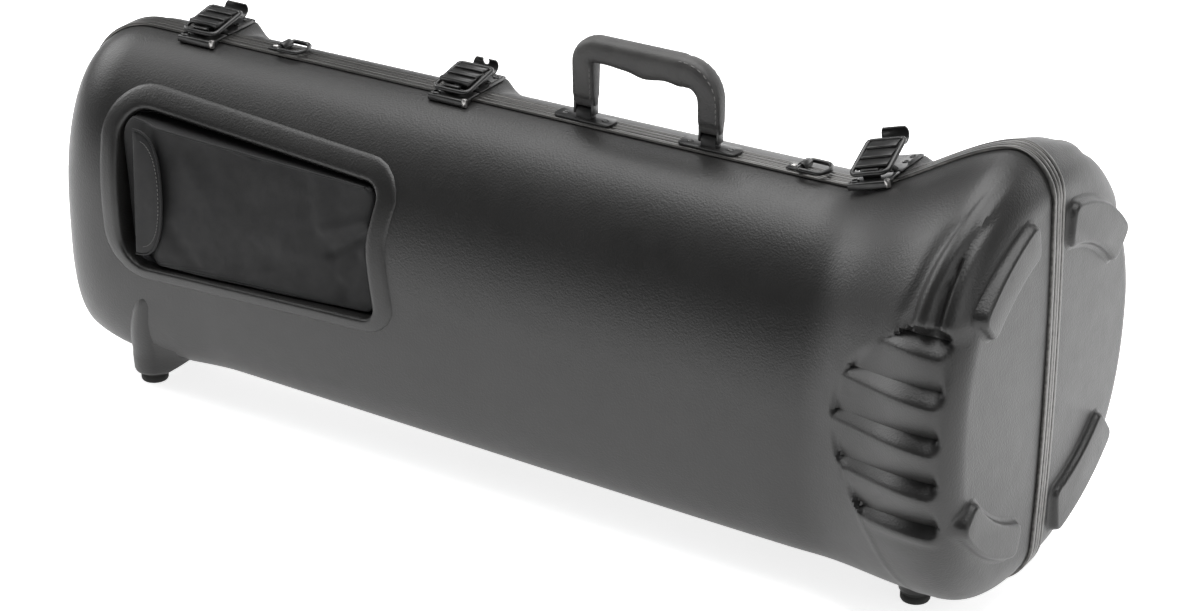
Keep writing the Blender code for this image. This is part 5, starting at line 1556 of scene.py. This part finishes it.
FLAP_STEPS = 40
FLAP_HINGE_STEPS = 12
FLAP_CENTRE_SHARE = 0.4
FLAP_SEAM_SHARE = 0.86
FLAP_SEAM_LIFT = -2.0 * MM
FLAP_STITCH_SCALE = 0.8
FLAP_BARE_STEPS = 2
FLAP_RINGS_MM = ((0.25, 1.6), (0.7, 1.5), (0.92, 1.2), (0.985, 0.7), (1.0, 0.0), (0.985, -0.9), (0.93, -1.7),
                 (0.8, -2.1), (0.5, -2.4), (0.2, -2.5))


def crossings(outline, z):
    """Where a level line first and last meets a closed outline."""
    found = []
    for k, b in enumerate(outline):
        a = outline[k - 1]
        if (a.y > z) != (b.y > z):
            found.append(a.x + (b.x - a.x) * (z - a.y) / (b.y - a.y))
    return min(found), max(found)


def pouch_height(x, z, left, right, low):
    """How far the pouch stands off the pocket's floor."""
    edge = min(x - left, right - x, z - low)
    round_share = min(max(edge / POUCH_EDGE, 0.0), 1.0)
    up = min((z - low) / (POUCH_TOP - low), 1.0)
    depth = mix(POUCH_LOW_DEPTH, POUCH_DEPTH, up)
    depth = mix(POUCH_LEFT_DEPTH, depth, ease((x - POUCH_LEFT_END) / POUCH_LEFT_RISE))
    height = depth * mix(POUCH_SIDE_SHARE, 1.0, sqrt(1 - (1 - round_share) ** 2))
    height += POUCH_CROWN * sin(pi * (x - left) / (right - left)) * sin(pi * up)
    for ax, az, bx, bz, width, rise in POUCH_FOLDS_MM:
        gap = line_distance(x, z, ((ax * MM, az * MM), (bx * MM, bz * MM)))
        height += rise * MM * exp(-(gap / (width * MM)) ** 2) * round_share
    height += noise.noise(Vector((x, 0.0, z)) * POUCH_WRINKLE_SCALE) * POUCH_WRINKLE * round_share
    return height


def make_pouch():
    """The nylon pouch, with creases at its right end and a free top edge."""
    outline = pocket_ring(-POUCH_ROOM)
    low = min(p.y for p in outline) + POUCH_MARGIN
    rows = []
    for j in range(POUCH_ROWS + 1):
        row = []
        for k in range(POUCH_COLUMNS + 1):
            across = k / POUCH_COLUMNS
            z = mix(low, POUCH_TOP + POUCH_LEFT_LIFT * (1 - across), j / POUCH_ROWS)
            left, right = crossings(outline, z)
            x = mix(left, right, across)
            row.append((x, -POUCH_BACK - pouch_height(x, z, left, right, low - POUCH_MARGIN), z))
        rows.append(row)
    wide = POUCH_COLUMNS + 1
    points = [p for row in rows for p in row]
    faces = [(j * wide + k, j * wide + k + 1, (j + 1) * wide + k + 1, (j + 1) * wide + k)
             for j in range(POUCH_ROWS) for k in range(POUCH_COLUMNS)]
    rim = [k for k in range(wide)] + [j * wide + POUCH_COLUMNS for j in range(1, POUCH_ROWS + 1)]
    rim += [POUCH_ROWS * wide + k for k in reversed(range(POUCH_COLUMNS))]
    rim += [j * wide for j in reversed(range(1, POUCH_ROWS))]
    base = len(points)
    points += [(points[k][0], -POUCH_BACK, points[k][2]) for k in rim]
    for n, k in enumerate(rim):
        after = (n + 1) % len(rim)
        faces.append((k, base + n, base + after, rim[after]))
    faces.append(tuple(base + n for n in range(len(rim))))
    made = make_piece("nylon_pouch", points, faces, NYLON, smooth=50.0)
    fit(made, "lid", "pouch", "pouch_bag")
    top_row = rows[-1][PIPING_BARE_COLUMNS:-PIPING_BARE_COLUMNS]
    edge = [Vector(p) + UP * PIPING_RADIUS / 2 for p in top_row]
    fit(bar("pouch_piping", edge, PIPING_RADIUS, NYLON, sides=8), "lid", "pouch")


def make_flap():
    """The pouch's side flap, a padded leaf with a piped and stitched edge."""
    middle = (FLAP_LOW + FLAP_HIGH) / 2
    half = (FLAP_HIGH - FLAP_LOW) / 2
    leaf = [(FLAP_WIDTH * sin(pi * k / FLAP_STEPS) ** FLAP_POWER_SHARE, half * cos(pi * k / FLAP_STEPS))
            for k in range(FLAP_STEPS + 1)]
    leaf += [(0.0, -half + 2 * half * k / FLAP_HINGE_STEPS) for k in range(1, FLAP_HINGE_STEPS)]
    centre = Vector((FLAP_WIDTH * FLAP_CENTRE_SHARE, 0.0))

    def place(a, b, lift):
        bulge = FLAP_BULGE * (a / FLAP_WIDTH) * cos(pi / 2 * b / half)
        return Vector((FLAP_LEFT + a, -FLAP_FRONT - bulge + lift + FLAP_LEAN * b / half, middle + b))

    rings = []
    for share, lift in FLAP_RINGS_MM:
        ring = [centre.lerp(Vector(p), share) for p in leaf]
        rings.append([place(p.x, p.y, lift * MM) for p in ring])
    made = loft("pouch_side_flap", rings, NYLON, smooth=60.0)
    fit(made, "pocket_flap", "pouch", "pouch_flap")
    edge = [place(a, b, -PIPING_RADIUS / 2) for a, b in leaf[: FLAP_STEPS + 1]]
    fit(bar("flap_piping", edge, PIPING_RADIUS, NYLON, sides=8), "pocket_flap", "pouch")
    spots = []
    inner = [centre.lerp(Vector(p), FLAP_SEAM_SHARE) for p in leaf[: FLAP_STEPS + 1]]
    inner = inner[FLAP_BARE_STEPS:-FLAP_BARE_STEPS]
    for a, b in zip(inner, inner[1:]):
        start, end = place(a.x, a.y, FLAP_SEAM_LIFT), place(b.x, b.y, FLAP_SEAM_LIFT)
        spots.append(((start + end) / 2, end - start, FRONT))
    fit(set_on("flap_stitches", STITCH, spots, THREAD, FLAP_STITCH_SCALE), "pocket_flap", "pouch")


make_pouch()
make_flap()


# Fitted foam inside

FOAM_VOXEL = 5.0 * MM
FOAM_SMOOTHING = 4


def make_foam(node, name, body):
    """The fitted foam under its plush: the CAD block with softened edges."""
    made = cad_copy(node, name, PLUSH)
    modify(made, "REMESH", mode="VOXEL", voxel_size=FOAM_VOXEL)
    settle(modify(made, "SMOOTH", iterations=FOAM_SMOOTHING))
    made.data.materials.clear()
    made.data.materials.append(PLUSH)
    made.data.shade_smooth()
    fit(made, body, "lining", node)


make_foam("rear_foam", "rear_lining", "rear_half")
make_foam("front_foam", "front_lining", "lid")

for shape in (RIVET, SCREW, STITCH):
    bpy.data.objects.remove(shape)


# Floor, lights and camera

FLOOR_SIZE = 9.0
FLOOR_GLOW = 0.8
FLOOR_VALUES = {"Base Color": (0.92, 0.92, 0.92, 1.0), "Roughness": 0.9, "Specular IOR Level": 0.0}
WORLD_GREY = (0.55, 0.56, 0.58, 1.0)
WORLD_STRENGTH = 0.18
WHITE = (1.0, 1.0, 1.0, 1.0)
BLACK = (0.0, 0.0, 0.0, 1.0)

# Name, place, aim, size and watts
SOFTBOXES = (
    ("top_softbox", (0.1, 0.3, 2.4), (0.0, 0.0, 0.2), (3.2, 2.2), 96.0),
    ("left_softbox", (-2.6, 0.1, 1.7), (0.3, 0.0, 0.2), (2.0, 1.6), 42.0),
    ("bell_end_softbox", (2.6, -0.6, 1.1), (0.4, 0.0, 0.2), (1.6, 1.6), 14.0),
    ("back_softbox", (0.3, 3.2, 1.0), (0.0, 0.0, 0.3), (4.4, 1.4), 44.0),
)


def shine(tree, kind, colour, strength):
    """The light of an emission or background node."""
    return add_node(tree, kind, Color=colour, Strength=strength).outputs[0]


def make_floor():
    """A matt floor that also glows for the camera and for glossy rays."""
    half = FLOOR_SIZE / 2
    corners = [(-half, -half, 0.0), (half, -half, 0.0), (half, half, 0.0), (-half, half, 0.0)]
    mesh = new_mesh("studio_floor", corners, faces=[(0, 1, 2, 3)])
    material, tree, shader = new_material("studio_floor", FLOOR_VALUES)
    rays = tree.nodes.new("ShaderNodeLightPath").outputs
    seen = combine(tree, "ShaderNodeMath", rays["Is Camera Ray"], rays["Is Glossy Ray"], operation="MAXIMUM")
    glow = shine(tree, "ShaderNodeEmission", WHITE, FLOOR_GLOW)
    clear = shine(tree, "ShaderNodeEmission", BLACK, 0.0)
    light = combine(tree, "ShaderNodeMixShader", seen, clear, glow)
    both = combine(tree, "ShaderNodeAddShader", shader.outputs["BSDF"], light)
    tree.links.new(both, tree.nodes["Material Output"].inputs["Surface"])
    mesh.materials.append(material)
    new_object("studio_floor", mesh)


def softbox(name, place, aim, size, power):
    lamp = bpy.data.lights.new(name, "AREA")
    lamp.shape = "RECTANGLE"
    lamp.size, lamp.size_y = size
    lamp.energy = power
    made = new_object(name, lamp)
    made.location = place
    made.rotation_euler = (Vector(aim) - Vector(place)).to_track_quat("-Z", "Y").to_euler()


def make_world():
    """Dim grey light all round, and white where the camera looks past the floor."""
    world = bpy.data.worlds.new("studio")
    bpy.context.scene.world = world
    world.use_nodes = True
    tree = world.node_tree
    tree.nodes.clear()
    seen = tree.nodes.new("ShaderNodeLightPath").outputs["Is Camera Ray"]
    dim = shine(tree, "ShaderNodeBackground", WORLD_GREY, WORLD_STRENGTH)
    white = shine(tree, "ShaderNodeBackground", WHITE, 1.0)
    add_node(tree, "ShaderNodeOutputWorld", Surface=combine(tree, "ShaderNodeMixShader", seen, dim, white))


def make_camera():
    back = Vector((sin(CAMERA_AZIMUTH) * cos(CAMERA_ELEVATION), -cos(CAMERA_AZIMUTH) * cos(CAMERA_ELEVATION),
                   sin(CAMERA_ELEVATION)))
    right = (-back).cross(UP).normalized()
    up = back.cross(right)
    rolled_right = right * cos(CAMERA_ROLL) + up * sin(CAMERA_ROLL)
    rolled_up = up * cos(CAMERA_ROLL) - right * sin(CAMERA_ROLL)
    lens = bpy.data.cameras.new("photo_camera")
    lens.lens = CAMERA_LENS_MM
    lens.sensor_fit = "HORIZONTAL"
    lens.sensor_width = CAMERA_SENSOR_MM
    turned = Matrix((rolled_right, rolled_up, back)).transposed().to_4x4()
    made = new_object("photo_camera", lens)
    made.matrix_world = Matrix.Translation(CAMERA_PLACE) @ turned
    bpy.context.scene.camera = made


make_floor()
for box in SOFTBOXES:
    softbox(*box)
make_world()
make_camera()
bpy.context.scene.view_settings.view_transform = "Standard"
